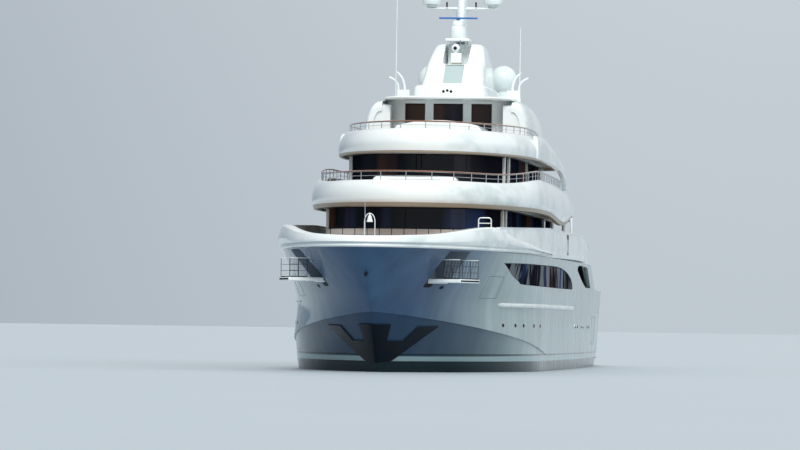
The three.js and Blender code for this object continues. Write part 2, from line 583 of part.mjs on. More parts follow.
addPiece('sun_deck', join(planStack(SUN_PLAN, SUN_SECTION), ...arches), FINISHES.white);

// Curved wings beside the sun-deck house
const WING_STATIONS = [
  // aft, scale of the wing about its inner foot
  [37.9, 0.8], [38.6, 0.93], [40, 1.0], [46, 1.0], [49, 0.86], [50.6, 0.55],
].map(([aft, scale]) => ({ aft, scale }));
const WING = { inner: 3.92, foot: SUN_DECK_Z + SEAT, reach: 0.95, high: 2.84, steps: 6, thick: 0.16 };
for (const [name, side] of SIDES) {
  const arc = (grow) => Array.from({ length: WING.steps + 1 }, (_, k) => {
    const angle = (k / WING.steps) * (Math.PI / 2);
    return [(WING.reach - grow) * Math.cos(angle) ** 0.75, (WING.high - grow) * Math.sin(angle) ** 0.9];
  });
  const section = [...arc(0), ...arc(WING.thick).reverse()];
  const loops = WING_STATIONS.map(({ aft, scale }) => section.map(([out, up]) => (
    place(aft, side * (WING.inner + out * scale), WING.foot + up * scale))));
  addPiece(`sun_wing_${name}`, loftSections(section.map(([u, v]) => uv(u, v)), loops), FINISHES.white);
}

// Hardtop over the sun-deck house
const HARDTOP_PLAN = {
  nose: 36.0, shoulder: 39.5, beam: 4.0, tail: 52, tailBeam: 3.85, corner: 1.2, blunt: 0.7,
};
addPiece('hardtop', planStack(HARDTOP_PLAN, [
  [0.5, ROOF_Z], [0.1, ROOF_Z + 0.03], [0, ROOF_Z + 0.1], [0.1, ROOF_TOP_Z - 0.04], [0.5, ROOF_TOP_Z],
]), FINISHES.white);

// Mast fairing: a plinth and two lobes with the mast between them
const FAIRING = [
  // up, nose, half-breadth, tail
  [ROOF_TOP_Z + SEAT, 38.9, 2.25, 47.4], [16.5, 38.95, 2.27, 47.4], [17.05, 39.15, 2.2, 47.4],
  [17.15, 40.3, 1.95, 47.4], [17.8, 41.2, 1.87, 47.3], [18.5, 42.0, 1.8, 47.2], [19.1, 42.8, 1.66, 47.05],
  [19.5, 43.4, 1.55, 46.9], [19.78, 43.9, 1.42, 46.75], [19.88, 44.3, 1.25, 46.5],
].map(([up, nose, beam, tail]) => ({ up, nose, beam, tail }));
const FAIRING_SLOT = 0.78;
function buildFairing() {
  const loops = FAIRING.map(({ up, nose, beam, tail }) => {
    const plan = { nose, shoulder: nose + 1.3, beam, tail, tailBeam: beam, corner: 0.6, blunt: 0.5 };
    return mirrored(planHalf(plan).map(([aft, port]) => place(aft, port, up)));
  });
  const slot = block([30, 60], [-FAIRING_SLOT, FAIRING_SLOT], [MAST_FOOT_Z, 30]);
  return solid(loftMirrored(loops)).subtract(solid(slot));
}
addPiece('mast_fairing', buildFairing(), FINISHES.white);

// Mast with its trunk between the lobes, two crosstrees and the radar's platform and pedestal
const MAST = { aft: 45.6, foot: MAST_FOOT_Z + SEAT, footHalf: 0.42, chord: 1.9 };
const TRUNK = { fore: 44.2, end: 46.6, half: 0.72, top: 19.9 };
const RADAR_STAND = {
  fore: 43.0, half: 0.74, low: 19.98, top: 20.15, drum: 0.47, drumTop: 20.86, neck: 0.42,
};
const RADAR = { aft: 43.5, up: 21.36, half: 1.18, deep: 0.09, high: 0.1, stub: 0.06, bore: 0.064 };
const CROSSTREES = [
  // up, half length, chord at the mast
  [22.05, 2.26, 0.8], [23.95, 1.25, 0.6],
].map(([up, half, chord]) => ({ up, half, chord }));
function ellipseLoop(aft, up, long, wide, count = 12) {
  return Array.from({ length: count }, (_, k) => {
    const angle = (2 * Math.PI * k) / count;
    return place(aft - long * Math.cos(angle), wide * Math.sin(angle), up);
  });
}
const fanCap = (count) => Array.from({ length: count - 2 }, (_, k) => [0, k + 1, k + 2]);
function buildMast() {
  const shape = [[MAST.foot, 1], [20.6, 0.85], [22, 0.8], [24, 0.5], [MAST_TOP_Z, 0.34]];
  const post = loftLoops(shape.map(([up, size]) => (
    ellipseLoop(MAST.aft, up, (MAST.chord / 2) * size * size, MAST.footHalf * size))), fanCap(12));
  const trees = CROSSTREES.map(({ up, half, chord }) => {
    const wing = [[half, up + 0.04], [half, up + 0.12], [0.2, up + 0.2], [-0.2, up + 0.2], [-half, up + 0.12],
      [-half, up + 0.04], [-0.2, up - 0.1], [0.2, up - 0.1]];
    return solid(foreAftPrism(wing, MAST.aft - chord / 2, MAST.aft + chord / 2));
  });
  const { fore, half, low, top, drum, drumTop, neck } = RADAR_STAND;
  const trunk = block([TRUNK.fore, TRUNK.end], [-TRUNK.half, TRUNK.half], [MAST.foot, TRUNK.top]);
  const plate = block([fore, MAST.aft], [-half, half], [low, top]);
  const [foot, shoulder, head] = [top - 0.02, drumTop, RADAR.up - 0.1].map((up) => place(RADAR.aft, 0, up));
  const pedestal = join(solid(rod(foot, shoulder, drum, 16)), solid(rod(foot, head, neck, 16, neck * 0.75)));
  const bore = rod(place(RADAR.aft, 0, RADAR.up - 0.25), place(RADAR.aft, 0, RADAR.up + 0.3), RADAR.bore, 12);
  return cut(join(solid(post), solid(trunk), ...trees, solid(plate), pedestal), solid(bore));
}
addPiece('mast', buildMast(), FINISHES.white);

function buildRadarBar() {
  const { aft, up, half, deep, high, stub } = RADAR;
  const bar = block([aft - deep, aft + deep], [-half, half], [up, up + high]);
  const pin = rod(place(aft, 0, up - 0.2), place(aft, 0, up + 0.05), stub, 12);
  const collar = rod(place(aft, 0, up - 0.06), place(aft, 0, up + 0.02), 0.12, 12);
  return join(solid(bar), solid(pin), solid(collar));
}
addPiece('radar_bar', buildRadarBar(), FINISHES.blue);

// Antenna domes: two balls on the hardtop and two drums with round tops on the lower crosstree
const DOME_STEPS = 7;
const SAT_DOME = {
  aft: 49.2, port: 2.24, foot: ROOF_TOP_Z + SEAT, radius: 0.85, neck: 0.45, rise: 1, from: -0.32,
};
const MAST_DOME = { aft: MAST.aft, port: 1.9, foot: 22.205, radius: 0.57, neck: 0.3, rise: 0.165, from: 0 };
function dome({ aft, port, foot, radius, neck, rise, from }, side) {
  const profile = [uv(0, 0), uv(neck, 0), uv(neck, rise)];
  if (from === 0) profile.push(uv(radius, rise));
  const centre = rise + radius * (from === 0 ? 0.35 : 0.75);
  for (let k = 0; k <= DOME_STEPS; k++) {
    const angle = lerp(from, 0.5, k / DOME_STEPS) * Math.PI;
    profile.push(uv(k === DOME_STEPS ? 0 : radius * Math.cos(angle), centre + radius * Math.sin(angle)));
  }
  const turned = new THREE.LatheGeometry(profile, 16).rotateX(Math.PI / 2);
  return solid(turned.translate(...place(aft, side * port, foot).toArray()));
}
for (const [name, side] of SIDES) {
  addPiece(`sat_dome_${name}`, dome(SAT_DOME, side), FINISHES.white);
  addPiece(`mast_dome_${name}`, dome(MAST_DOME, side), FINISHES.white);
}

// Whip antennas on the hardtop
const WHIPS = [['port', 3.82, 20.9], ['starboard', -3.82, 24.4]];
const WHIP_FOOT = ROOF_TOP_Z - 0.02;
for (const [name, port, top] of WHIPS) {
  const foot = rod(place(43.7, port, WHIP_FOOT), place(43.7, port, ROOF_TOP_Z + 0.3), 0.07, 8, 0.045);
  const whip = rod(place(43.7, port, ROOF_TOP_Z + 0.2), place(43.7, port, top), 0.035, 6, 0.018);
  addPiece(`whip_${name}`, join(solid(foot), solid(whip)), FINISHES.white);
}

// Guard rails: posts on the brow or band, with one rail on top
function guardRail(points, foot, high, every, radius) {
  const path = points.map((p) => p.clone().setZ(p.z + foot + high));
  const posts = [];
  for (let i = 0; i < points.length; i += every) {
    const base = points[i].clone().setZ(points[i].z + foot);
    posts.push(solid(rod(base, path[i], radius * 0.8, 4)));
  }
  return join(solid(tubeAlong(path, radius)), ...posts);
}
function planRailPoints(plan, inset, up, last) {
  const port = planHalf(plan, inset).filter(([aft]) => aft < last);
  const half = port.slice(1).map(([aft, out]) => place(aft, out, up(aft)));
  const starboard = half.slice().reverse().map((p) => new THREE.Vector3(p.x, -p.y, p.z));
  return [...starboard, place(port[0][0], 0, up(port[0][0])), ...half];
}
const bridgeRailPoints = planRailPoints(BRIDGE_PLAN, 0.56, bridgeTop, 53);
addPiece('bridge_rail', guardRail(bridgeRailPoints, SEAT, 0.5, 1, 0.035), FINISHES.steel);
const sunRailPoints = planRailPoints(SUN_PLAN, 0.68, sunTop, 51);
addPiece('sun_rail', guardRail(sunRailPoints, SEAT, 0.42, 1, 0.03), FINISHES.steel);

// Mooring platforms and their folding rail frames
for (const [name, side] of SIDES) {
  const frame = platformFrame(side);
  yacht.add(frame);
  const { hinge, inner, outer, half, thick } = PLATFORM;
  const plate = new THREE.BoxGeometry(2 * half, outer - inner, thick);
  plate.translate(0, side * (inner + outer) / 2, thick / 2);
  const barrel = rod(new THREE.Vector3(-half, 0, 0), new THREE.Vector3(half, 0, 0), hinge, 10);
  const strap = new THREE.BoxGeometry(2 * half, 0.08, 0.05).translate(0, side * 0.03, 0.03);
  addPiece(`platform_${name}`, join(solid(plate), solid(barrel), solid(strap)), FINISHES.white, frame);
  for (const [end, sign] of [['fore', 1], ['aft', -1]]) {
    const x = sign * RAIL_FRAME.from;
    const foot = thick + RAIL_FRAME.lift;
    const near = side * RAIL_FRAME.inner;
    const far = side * RAIL_FRAME.outer;
    const at = (y, z) => new THREE.Vector3(x, y, foot + z);
    const { tube, high } = RAIL_FRAME;
    const bars = [0, high / 2, high].map((z) => solid(rod(at(near, z), at(far, z), tube, z === 0 ? 8 : 5)));
    const posts = [near, (near + far) / 2, far].map((y) => solid(rod(at(y, 0), at(y, high), tube, 5)));
    addPiece(`platform_rail_${end}_${name}`, join(...bars, ...posts), FINISHES.steel, frame);
  }
}

// Shafts with their brackets, propellers and rudders
function hullBottom(aft) {
  const rows = HULL_LEVELS.slice(0, 6).map((row) => [row.stern, row.upStern]);
  return fromTable(rows, aft);
}
for (const [name, side] of SIDES) {
  const port = side * SHAFT_PORT;
  const onLine = (aft) => place(aft, port, PROPELLER.up);
  const line = rod(onLine(SHAFT.entryAft), onLine(PROPELLER.aft), SHAFT.radius, 12);
  const barrel = rod(onLine(SHAFT.bracketAft - 0.5), onLine(SHAFT.bracketAft + 0.5), SHAFT.barrel, 12);
  const armTop = hullBottom(SHAFT.bracketAft) + 0.5;
  const arms = [-0.8, 0.8].map((lean) => (
    rod(onLine(SHAFT.bracketAft), place(SHAFT.bracketAft, port + lean, armTop), 0.08, 8)));
  const gear = join(solid(line), solid(barrel), ...arms.map(solid));
  addPiece(`shaft_${name}`, gear.subtract(hullShell), FINISHES.steel);

  const blades = Array.from({ length: 5 }, (_, k) => {
    const loops = [0.12, 0.35, 0.6, 0.85, 1.08, PROPELLER.radius].map((radius, i) => {
      const chord = [0.28, 0.5, 0.68, 0.72, 0.56, 0.18][i];
      const pitch = Math.atan(2.4 / (2 * Math.PI * Math.max(radius, 0.3)));
      return [[-1, 0], [0, 0.05], [1, 0], [0, -0.03]].map(([c, t]) => {
        const along = (c * chord * Math.sin(pitch)) / 2 + t * Math.cos(pitch);
        const around = (side * (c * chord * Math.cos(pitch))) / 2 - side * t * Math.sin(pitch);
        return new THREE.Vector3(along, around, radius);
      });
    });
    const blade = loftLoops(loops, [[0, 1, 2], [0, 2, 3]]).rotateX((k * 2 * Math.PI) / 5);
    return solid(blade);
  });
  const hub = rod(new THREE.Vector3(0.28, 0, 0), new THREE.Vector3(-0.5, 0, 0), PROPELLER.hub, 12, 0.08);
  const bore = rod(new THREE.Vector3(0.5, 0, 0), new THREE.Vector3(-0.05, 0, 0), PROPELLER.bore, 12);
  const wheel = cut(join(solid(hub), ...blades), solid(bore));
  const mesh = addPiece(`propeller_${name}`, wheel, FINISHES.bronze);
  mesh.position.copy(place(PROPELLER.aft + 0.06, port, PROPELLER.up));

  const blade = [[RUDDER.root, 1.05], [RUDDER.tip, 0.8]].map(([up, chord]) => (
    [[-0.9, 0], [-0.6, 0.13], [0, 0.16], [1.25, 0.03], [1.25, -0.03], [0, -0.16], [-0.6, -0.13]]
      .map(([c, t]) => place(RUDDER.aft + c * chord, port + t * chord, up))));
  const stockEnds = [RUDDER.root - 0.3, RUDDER.top].map((up) => place(RUDDER.aft, port, up));
  const stock = rod(...stockEnds, RUDDER.stock, 16);
  addPiece(`rudder_${name}`, join(solid(loftLoops(blade, fanCap(7))), solid(stock)), FINISHES.steel);
}

// Stabiliser fins at the turn of the bilge
for (const [name, side] of SIDES) {
  const frame = finFrame(side);
  yacht.add(frame);
  const blade = [[FIN.root, 1], [FIN.tip, 0.72]].map(([out, size]) => (
    [[-0.8, 0], [-0.5, 0.12], [0.1, 0.13], [1.2, 0.02], [1.2, -0.02], [0.1, -0.13], [-0.5, -0.12]]
      .map(([c, t]) => new THREE.Vector3(-c * size, side * out, t * size))));
  const stock = new THREE.CylinderGeometry(FIN.stock, FIN.stock, 0.9, 12).translate(0, side * 0.05, 0);
  addPiece(`fin_${name}`, join(solid(loftLoops(blade, fanCap(7))), solid(stock)), FINISHES.hull, frame);
}

// Swim platform, transom door and stairs
const SWIM = { tail: 84.4, half: 5.45, low: 0.4, high: 0.72 };
function buildSwimPlatform() {
  const half = [[SWIM.tail, 3.6], [84.1, 4.8], [83.2, SWIM.half - 0.1], [78.6, 5.1]];
  const outline = [...half.map(([aft, port]) => [aft, -port]).reverse(), ...half];
  return solid(uprightPrism(outline, SWIM.low, SWIM.high)).subtract(hullShell);
}
addPiece('swim_platform', buildSwimPlatform(), FINISHES.teak);

function buildTransomDoor() {
  const { half, low, high, thick, lowAft, highAft, hinge } = DOOR;
  const outerFace = (up) => lerp(lowAft, highAft, (up - low) / (high - low));
  const top = high - 0.1;
  const [lowFace, topFace] = [outerFace(low), outerFace(top)];
  const slab = [[lowFace, low], [topFace, top], [topFace - thick, top], [lowFace - thick, low]];
  const strap = [[topFace, top - 0.1], [highAft, high], [highAft - 0.04, high], [topFace - 0.05, top - 0.1]];
  const barrel = rod(place(highAft, -half, high), place(highAft, half, high), hinge, 10);
  return join(solid(athwartPrism(slab, -half, half)), solid(athwartPrism(strap, -half, half)), solid(barrel));
}
addPiece('transom_door', buildTransomDoor(), FINISHES.hull);

for (const [name, side] of SIDES) {
  const { inner, outer, fore, aft, foot, steps } = STAIR;
  const outline = [[aft, foot + SEAT]];
  for (let i = 0; i < steps; i++) {
    const up = lerp(foot, MAIN_DECK_Z, (i + 1) / steps);
    outline.push([lerp(aft, fore, i / steps), up], [lerp(aft, fore, (i + 1) / steps) + SEAT, up]);
  }
  outline.push([fore + SEAT, foot + SEAT]);
  const ports = [side * (inner + SEAT), side * (outer - SEAT)].sort((a, b) => a - b);
  addPiece(`stairs_${name}`, athwartPrism(outline, ...ports), FINISHES.teak);
}

// Foredeck: a bell in its hoop on the deck behind the band
const BELL = { aft: 2.55, foot: UPPER_DECK_Z + SEAT, hoop: 0.28, leg: 1.1, rise: 0.46, tube: 0.035,
  size: 0.72 };
function buildBell() {
  const hoopSteps = 6;
  const hoop = Array.from({ length: hoopSteps + 1 }, (_, k) => {
    const angle = Math.PI * (k / hoopSteps);
    return place(BELL.aft, BELL.hoop * Math.cos(angle), BELL.foot + BELL.leg + BELL.rise * Math.sin(angle));
  });
  const legs = SIDES.map(([, side]) => {
    const ends = [0, BELL.leg + 0.01].map((up) => place(BELL.aft, side * BELL.hoop, BELL.foot + up));
    return rod(...ends, BELL.tube, 6);
  });
  const arcs = hoop.slice(1).map((p, i) => solid(rod(hoop[i], p, BELL.tube, 5)));
  const profile = [uv(0, 0.06), uv(0.2, 0), uv(0.24, 0.02), uv(0.16, 0.25), uv(0.1, 0.5), uv(0, 0.52)];
  const { size } = BELL;
  const body = new THREE.LatheGeometry(profile, 10).rotateX(Math.PI / 2).scale(size, size, size);
  body.translate(...place(BELL.aft, 0, BELL.foot + BELL.leg).toArray());
  const hangerEnds = [0.33, BELL.rise].map((up) => place(BELL.aft, 0, BELL.foot + BELL.leg + up));
  const hanger = rod(...hangerEnds, 0.04, 6);
  return join(...legs.map(solid), ...arcs, solid(body), solid(hanger));
}
addPiece('bell', buildBell(), FINISHES.white);

yacht.scale.setScalar(MM_PER_SHIP_METRE);
export default yacht;
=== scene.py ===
"""Fine surfaces, fittings and finishes of a four-deck motor yacht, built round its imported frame.

Sizes are in metres of the full-size ship, given as aft (behind the stem head), port (from the centreline)
and up (above the water). The model is a tenth of that, with +X ahead, +Y to port and +Z up.
"""

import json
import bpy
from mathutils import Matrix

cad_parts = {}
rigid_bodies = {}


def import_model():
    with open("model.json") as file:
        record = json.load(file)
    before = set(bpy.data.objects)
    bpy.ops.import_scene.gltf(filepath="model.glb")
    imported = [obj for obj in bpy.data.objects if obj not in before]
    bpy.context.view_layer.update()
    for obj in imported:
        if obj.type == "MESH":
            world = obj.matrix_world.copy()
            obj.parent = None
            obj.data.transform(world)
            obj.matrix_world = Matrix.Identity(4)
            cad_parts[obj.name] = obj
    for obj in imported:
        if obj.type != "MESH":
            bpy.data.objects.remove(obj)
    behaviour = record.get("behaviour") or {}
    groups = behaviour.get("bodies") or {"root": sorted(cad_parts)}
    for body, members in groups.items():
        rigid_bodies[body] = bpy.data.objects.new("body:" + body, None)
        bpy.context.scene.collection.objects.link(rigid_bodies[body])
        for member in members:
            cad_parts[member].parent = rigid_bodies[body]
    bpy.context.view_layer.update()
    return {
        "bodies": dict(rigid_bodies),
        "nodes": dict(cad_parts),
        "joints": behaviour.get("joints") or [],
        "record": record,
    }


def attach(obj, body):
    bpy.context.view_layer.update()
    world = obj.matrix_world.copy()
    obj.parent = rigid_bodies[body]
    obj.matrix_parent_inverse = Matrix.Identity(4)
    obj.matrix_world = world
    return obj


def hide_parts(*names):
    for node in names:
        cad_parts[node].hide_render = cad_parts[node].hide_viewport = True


bl_info = {
    "name": "Motor Yacht Dress",
    "version": (1, 0, 0),
    "blender": (4, 5, 0),
    "location": "View3D > Sidebar > Yacht",
    "description": "Builds the surfaces, fittings and finishes of a four-deck motor yacht round its frame",
    "category": "Add Mesh",
}

from collections import namedtuple

import bpy
import numpy as np
from bpy.props import FloatProperty, FloatVectorProperty, PointerProperty
from mathutils import Matrix, Vector
from mathutils.geometry import tessellate_polygon

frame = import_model()

SHIP = 0.1
MIDSHIP = 42.5
LIFT = 0.004  # how far a piece stands clear of what it seats on
SHEER = 6.63
MAIN_DECK = 3.9
UPPER_DECK = 6.9
BRIDGE_DECK = 9.95
SUN_DECK = 13.2
ROOF = 16.1
ROOF_TOP = 16.32
MAST_FOOT = 18.5
MAST_TOP = 25.2
SIDES = (("port", 1), ("starboard", -1))


# Curves and ramps

def lerp(low, high, share):
    """Low plus a share of the way to high."""
    return low + (high - low) * share


def ramp(value, low, high):
    """Smooth step: 3t squared less 2t cubed, where t runs from 0 at low to 1 at high."""
    t = np.clip((np.asarray(value, float) - low) / (high - low), 0, 1)
    return t * t * (3 - 2 * t)


def hermite(keys, slopes, steps):
    """Cubic spans through the rows of keys, where slopes are in key steps."""
    t = np.linspace(0, 1, steps, endpoint=False)[:, None, None]
    start = (2 * t**3 - 3 * t**2 + 1) * keys[:-1] + (t**3 - 2 * t**2 + t) * slopes[:-1]
    end = (3 * t**2 - 2 * t**3) * keys[1:] + (t**3 - t**2) * slopes[1:]
    rows = (start + end).transpose(1, 0, 2).reshape(-1, keys.shape[1])
    return np.vstack([rows, keys[-1:]])


def turns(count):
    """Angles of a whole turn in even steps."""
    return 2 * np.pi * np.arange(count) / count


def unit(rows):
    """Each row scaled to a length of one."""
    return rows / np.linalg.norm(rows, axis=-1)[..., None]


def runs(line):
    """How far each point of a line lies along it."""
    return np.concatenate([[0], np.cumsum(np.linalg.norm(np.diff(line, axis=0), axis=1))])


def at_runs(line, want):
    """The points of a line that lie at wanted runs along it."""
    return np.stack([np.interp(want, runs(line), column) for column in line.T], axis=1)


def places(aft, port, up):
    """Points from arrays or numbers of aft, port and up that are spread to one shape."""
    return np.stack(np.broadcast_arrays(aft, port, up), axis=-1)


def through(keys, steps):
    """Rows between keys by cubics that never overshoot: the slope at a key is the harmonic mean of the
    steps beside it, or nought where they turn back."""
    keys = np.asarray(keys, float)
    step = np.diff(keys, axis=0)
    rising = step[:-1] * step[1:] > 0
    total = np.where(rising, step[:-1] + step[1:], 1)
    inner = np.where(rising, 2 * step[:-1] * step[1:] / total, 0)
    return hermite(keys, np.vstack([step[:1], inner, step[-1:]]), steps)


def curve(keys, steps, corners=()):
    """Smooth line through rows of keys: the slope at a key is half the step between its neighbours, and the
    line breaks at the corners."""
    keys = np.asarray(keys, float)
    ends = [0, *corners, len(keys) - 1]
    parts = [keys[first:last + 1] for first, last in zip(ends, ends[1:])]
    spans = [hermite(part, np.gradient(part, axis=0), steps) for part in parts]
    return np.vstack([spans[0], *[span[1:] for span in spans[1:]]])


def rounded(outline, radius, steps=4):
    """An outline with each corner turned by a quadratic curve that starts radius away from it."""
    corner = np.asarray(outline, float)
    before, after = np.roll(corner, 1, axis=0) - corner, np.roll(corner, -1, axis=0) - corner
    reach = [np.minimum(radius, 0.48 * np.linalg.norm(side, axis=1))[:, None] * unit(side)
             for side in (before, after)]
    t = np.linspace(0, 1, steps + 1)[None, :, None]
    turned = corner[:, None] + (1 - t) ** 2 * reach[0][:, None] + t**2 * reach[1][:, None]
    return turned.reshape(-1, 2)


# Surfaces: each gives points in ship places and faces, where a triangle's fourth corner is -1

def grid_faces(rows, columns, wrap=False):
    """Faces of a grid of points, four neighbours to each: wrap joins the last column to the first."""
    index = np.arange(rows * columns).reshape(rows, columns)
    if wrap:
        index = np.hstack([index, index[:, :1]])
    corners = [index[:-1, :-1], index[1:, :-1], index[1:, 1:], index[:-1, 1:]]
    return np.stack(corners, axis=-1).reshape(-1, 4)


def cap_faces(count, way):
    """Faces that close a loop of points: "pairs" joins point k to the last less k, "mirror" joins k to the
    count less k, for a loop that starts on its own mirror line."""
    k = np.arange(count // 2 - 1) if way == "pairs" else np.arange(1, (count - 1) // 2)
    last = count - 1 if way == "pairs" else count
    quads = np.stack([k, k + 1, last - k - 1, last - k], axis=1)
    if way == "mirror":
        quads = np.vstack([[[0, 1, count - 1, -1]], quads])
    return quads


def loft(loops, cap="fan"):
    """Closed surface through equal loops (levels, points, 3), with both ends capped. A fan cap meets at the
    loop's mean point."""
    levels, count = loops.shape[:2]
    points = loops.reshape(-1, 3)
    faces = grid_faces(levels, count, wrap=True)
    if cap == "fan":
        k = np.arange(count)
        fan = np.stack([k, (k + 1) % count, np.zeros_like(k), np.full_like(k, -1)], axis=1)
        ends = []
        for first, loop in ((0, loops[0]), ((levels - 1) * count, loops[-1])):
            one = fan.copy()
            one[:, :2] += first
            one[:, 2] = len(points)
            points = np.vstack([points, loop.mean(axis=0)])
            ends.append(one)
        ends[1][:, [0, 1]] = ends[1][:, [1, 0]]
    else:
        near = cap_faces(count, cap)
        far = np.where(near[:, 3:] < 0, near[:, [0, 2, 1, 3]], near[:, [0, 3, 2, 1]])
        ends = [near, np.where(far < 0, -1, far + (levels - 1) * count)]
    return points, np.vstack([faces, *ends])


def prism(outline, across, low, high):
    """An outline carried straight along one direction. Across port it is (aft, up), across up (aft, port),
    and across aft (port, up)."""
    outline = np.asarray(outline, float)
    count = len(outline)
    ends = [np.column_stack([outline, np.full(count, level)]) for level in (low, high)]
    columns = {"port": [0, 2, 1], "up": [0, 1, 2], "aft": [2, 0, 1]}[across]
    points = np.vstack(ends)[:, columns]
    triangles = np.array(tessellate_polygon([[Vector((u, v, 0)) for u, v in outline]]))
    caps = np.column_stack([triangles, np.full(len(triangles), -1)])
    start = outline[:, 0] @ np.roll(outline[:, 1], -1) - outline[:, 1] @ np.roll(outline[:, 0], -1)
    near, far = (outline[triangles[0, k]] - outline[triangles[0, 0]] for k in (1, 2))
    if (near[0] * far[1] - near[1] * far[0]) * start < 0:
        caps = caps[:, [0, 2, 1, 3]]
    near = caps[:, [0, 2, 1, 3]]
    far = np.where(caps < 0, -1, caps + count)
    k = np.arange(count)
    sides = np.stack([k, (k + 1) % count, (k + 1) % count + count, k + count], axis=1)
    return points, np.vstack([sides, near, far])


def tube(path, radius, sides=8, reference=(0, 0, 1)):
    """A round tube along a path: each ring stands square to the path, turned from the reference direction.
    The radius may change along it, or be a pair of half-widths, along and across the reference."""
    path = np.asarray(path, float)
    ahead = unit(np.gradient(path, axis=0))
    side = unit(np.cross(ahead, np.asarray(reference, float)))
    over = np.cross(side, ahead)
    radius = np.asarray(radius, float)
    radius = np.broadcast_to(radius[:, None] if radius.shape == (len(path),) else radius, (len(path), 2))
    turn = 2 * np.pi * (np.arange(sides) + 0.5) / sides
    ring = (side[:, None] * (radius[:, :1] * np.cos(turn))[..., None]
            + over[:, None] * (radius[:, 1:] * np.sin(turn))[..., None])
    return loft(path[:, None] + ring)


def rods(starts, ends, radius, sides=8, end_radius=None):
    """Many straight round rods at once, each with fan caps: two rings square to the rod's own direction."""
    starts, ends = np.broadcast_arrays(*(np.atleast_2d(np.asarray(side, float)) for side in (starts, ends)))
    ahead = unit(ends - starts)
    spare = np.where(np.abs(ahead[:, :1]) > 0.9, [[0.0, 1.0, 0.0]], [[1.0, 0.0, 0.0]])
    side = unit(np.cross(ahead, spare))
    over = np.cross(ahead, side)
    turn = turns(sides)[:, None]
    ring = side[:, None] * np.cos(turn) + over[:, None] * np.sin(turn)
    low = starts[:, None] + ring * radius
    high = ends[:, None] + ring * (end_radius or radius)
    points = np.concatenate([low, high, starts[:, None], ends[:, None]], axis=1)
    return spread(points, loft(np.zeros((2, sides, 3)))[1])


def spread(points, faces):
    """Faces repeated for each copy in points (copies, points, 3)."""
    copies, count = points.shape[:2]
    step = (np.arange(copies) * count)[:, None, None]
    every = np.where(faces[None] < 0, -1, faces[None] + step)
    return points.reshape(-1, 3), every.reshape(-1, 4)


def copied(shape, spots):
    """One shape set down at many spots: its points plus each spot."""
    points, faces = shape
    return spread(points[None] + np.asarray(spots, float)[:, None], faces)


def turned(profile, centre, axis="up", count=32):
    """A profile of (radius, height) spun about an axis through centre, from pole to pole."""
    profile = np.asarray(profile, float)
    turn = turns(count)
    out, over = profile[:, :1] * np.cos(turn), profile[:, :1] * np.sin(turn)
    high = np.broadcast_to(profile[:, 1:2], out.shape)
    order = {"up": (out, over, high), "aft": (high, out, over), "port": (out, high, over)}[axis]
    return loft(np.stack(order, axis=-1) + np.asarray(centre, float))


def block(aft, port, up, soft=0.02, steps=3):
    """A box with rounded edges: rounded rectangles stacked so that their inset follows a quarter circle."""
    turn = np.linspace(0, np.pi / 2, steps + 1)
    inset = soft * (1 - np.sin(turn))
    rise = soft * (1 - np.cos(turn))
    insets = np.concatenate([inset, inset[::-1]])
    ups = np.concatenate([up[0] + rise, up[1] - rise[::-1]])
    corner = np.concatenate([turn + quarter * np.pi / 2 for quarter in range(4)])
    signs = np.array([[1, 1], [-1, 1], [-1, -1], [1, -1]]).repeat(steps + 1, axis=0)
    centre = np.array([sum(aft) / 2, sum(port) / 2])
    half = np.array([abs(aft[1] - aft[0]) / 2, abs(port[1] - port[0]) / 2])
    arc = np.stack([np.cos(corner), np.sin(corner)], axis=1)
    loops = [centre + signs * (half - soft) + arc * (soft - one) for one in np.minimum(insets, soft * 0.98)]
    flat = np.stack(loops)
    return loft(np.concatenate([flat, np.broadcast_to(ups[:, None, None], (*flat.shape[:2], 1))], axis=-1))


def volume(points, faces):
    """Six times the signed volume: each triangle's corner dotted with the cross of the other two, summed."""
    corner = [points[faces[:, k]] for k in range(4)]
    total = np.einsum("ij,ij->", corner[0], np.cross(corner[1], corner[2]))
    quad = faces[:, 3] >= 0
    return total + np.einsum("ij,ij->", corner[0][quad], np.cross(corner[2][quad], corner[3][quad]))


def mirrored(shape, side):
    """A shape for one side: as it is to port, its mirror image to starboard."""
    return shape[0] * [1, side, 1], shape[1]


class Gather:
    """Gathers closed surfaces for one piece, each with a finish number for all its faces or for each."""

    def __init__(self, *shapes):
        self.points, self.faces, self.finish, self.count = [], [], [], 0
        for shape in shapes:
            self.add(shape)

    def add(self, shape, finish=0):
        points, faces = shape
        points = (points * [-1, 1, 1] + [MIDSHIP, 0, 0]) * SHIP
        if volume(points, faces) < 0:
            faces = np.where(faces[:, 3:] < 0, faces[:, [0, 2, 1, 3]], faces[:, [0, 3, 2, 1]])
        self.points.append(points)
        self.faces.append(np.where(faces < 0, -1, faces + self.count))
        self.finish.append(np.broadcast_to(finish, len(faces)))
        self.count += len(points)
        return self

    def both(self, shape, finish=0):
        """Adds a shape and its mirror image across the centreline."""
        return self.add(shape, finish).add(mirrored(shape, -1), finish)

    def mesh(self, name, looks, sharp=40):
        """The gathered mesh, smooth except at edges sharper than given."""
        points, faces = np.vstack(self.points), np.vstack(self.faces)
        mesh = bpy.data.meshes.new(name)
        corners = np.where(faces[:, 3] < 0, 3, 4)
        mesh.vertices.add(len(points))
        mesh.vertices.foreach_set("co", points.astype(np.float32).ravel())
        mesh.loops.add(int(corners.sum()))
        mesh.loops.foreach_set("vertex_index", faces[faces >= 0].astype(np.int32))
        mesh.polygons.add(len(faces))
        mesh.polygons.foreach_set("loop_start", (np.cumsum(corners) - corners).astype(np.int32))
        for look in looks:
            mesh.materials.append(look)
        mesh.polygons.foreach_set("material_index", np.concatenate(self.finish).astype(np.int32))
        mesh.update(calc_edges=True)
        mesh.validate()
        smooth(mesh, sharp)
        return mesh


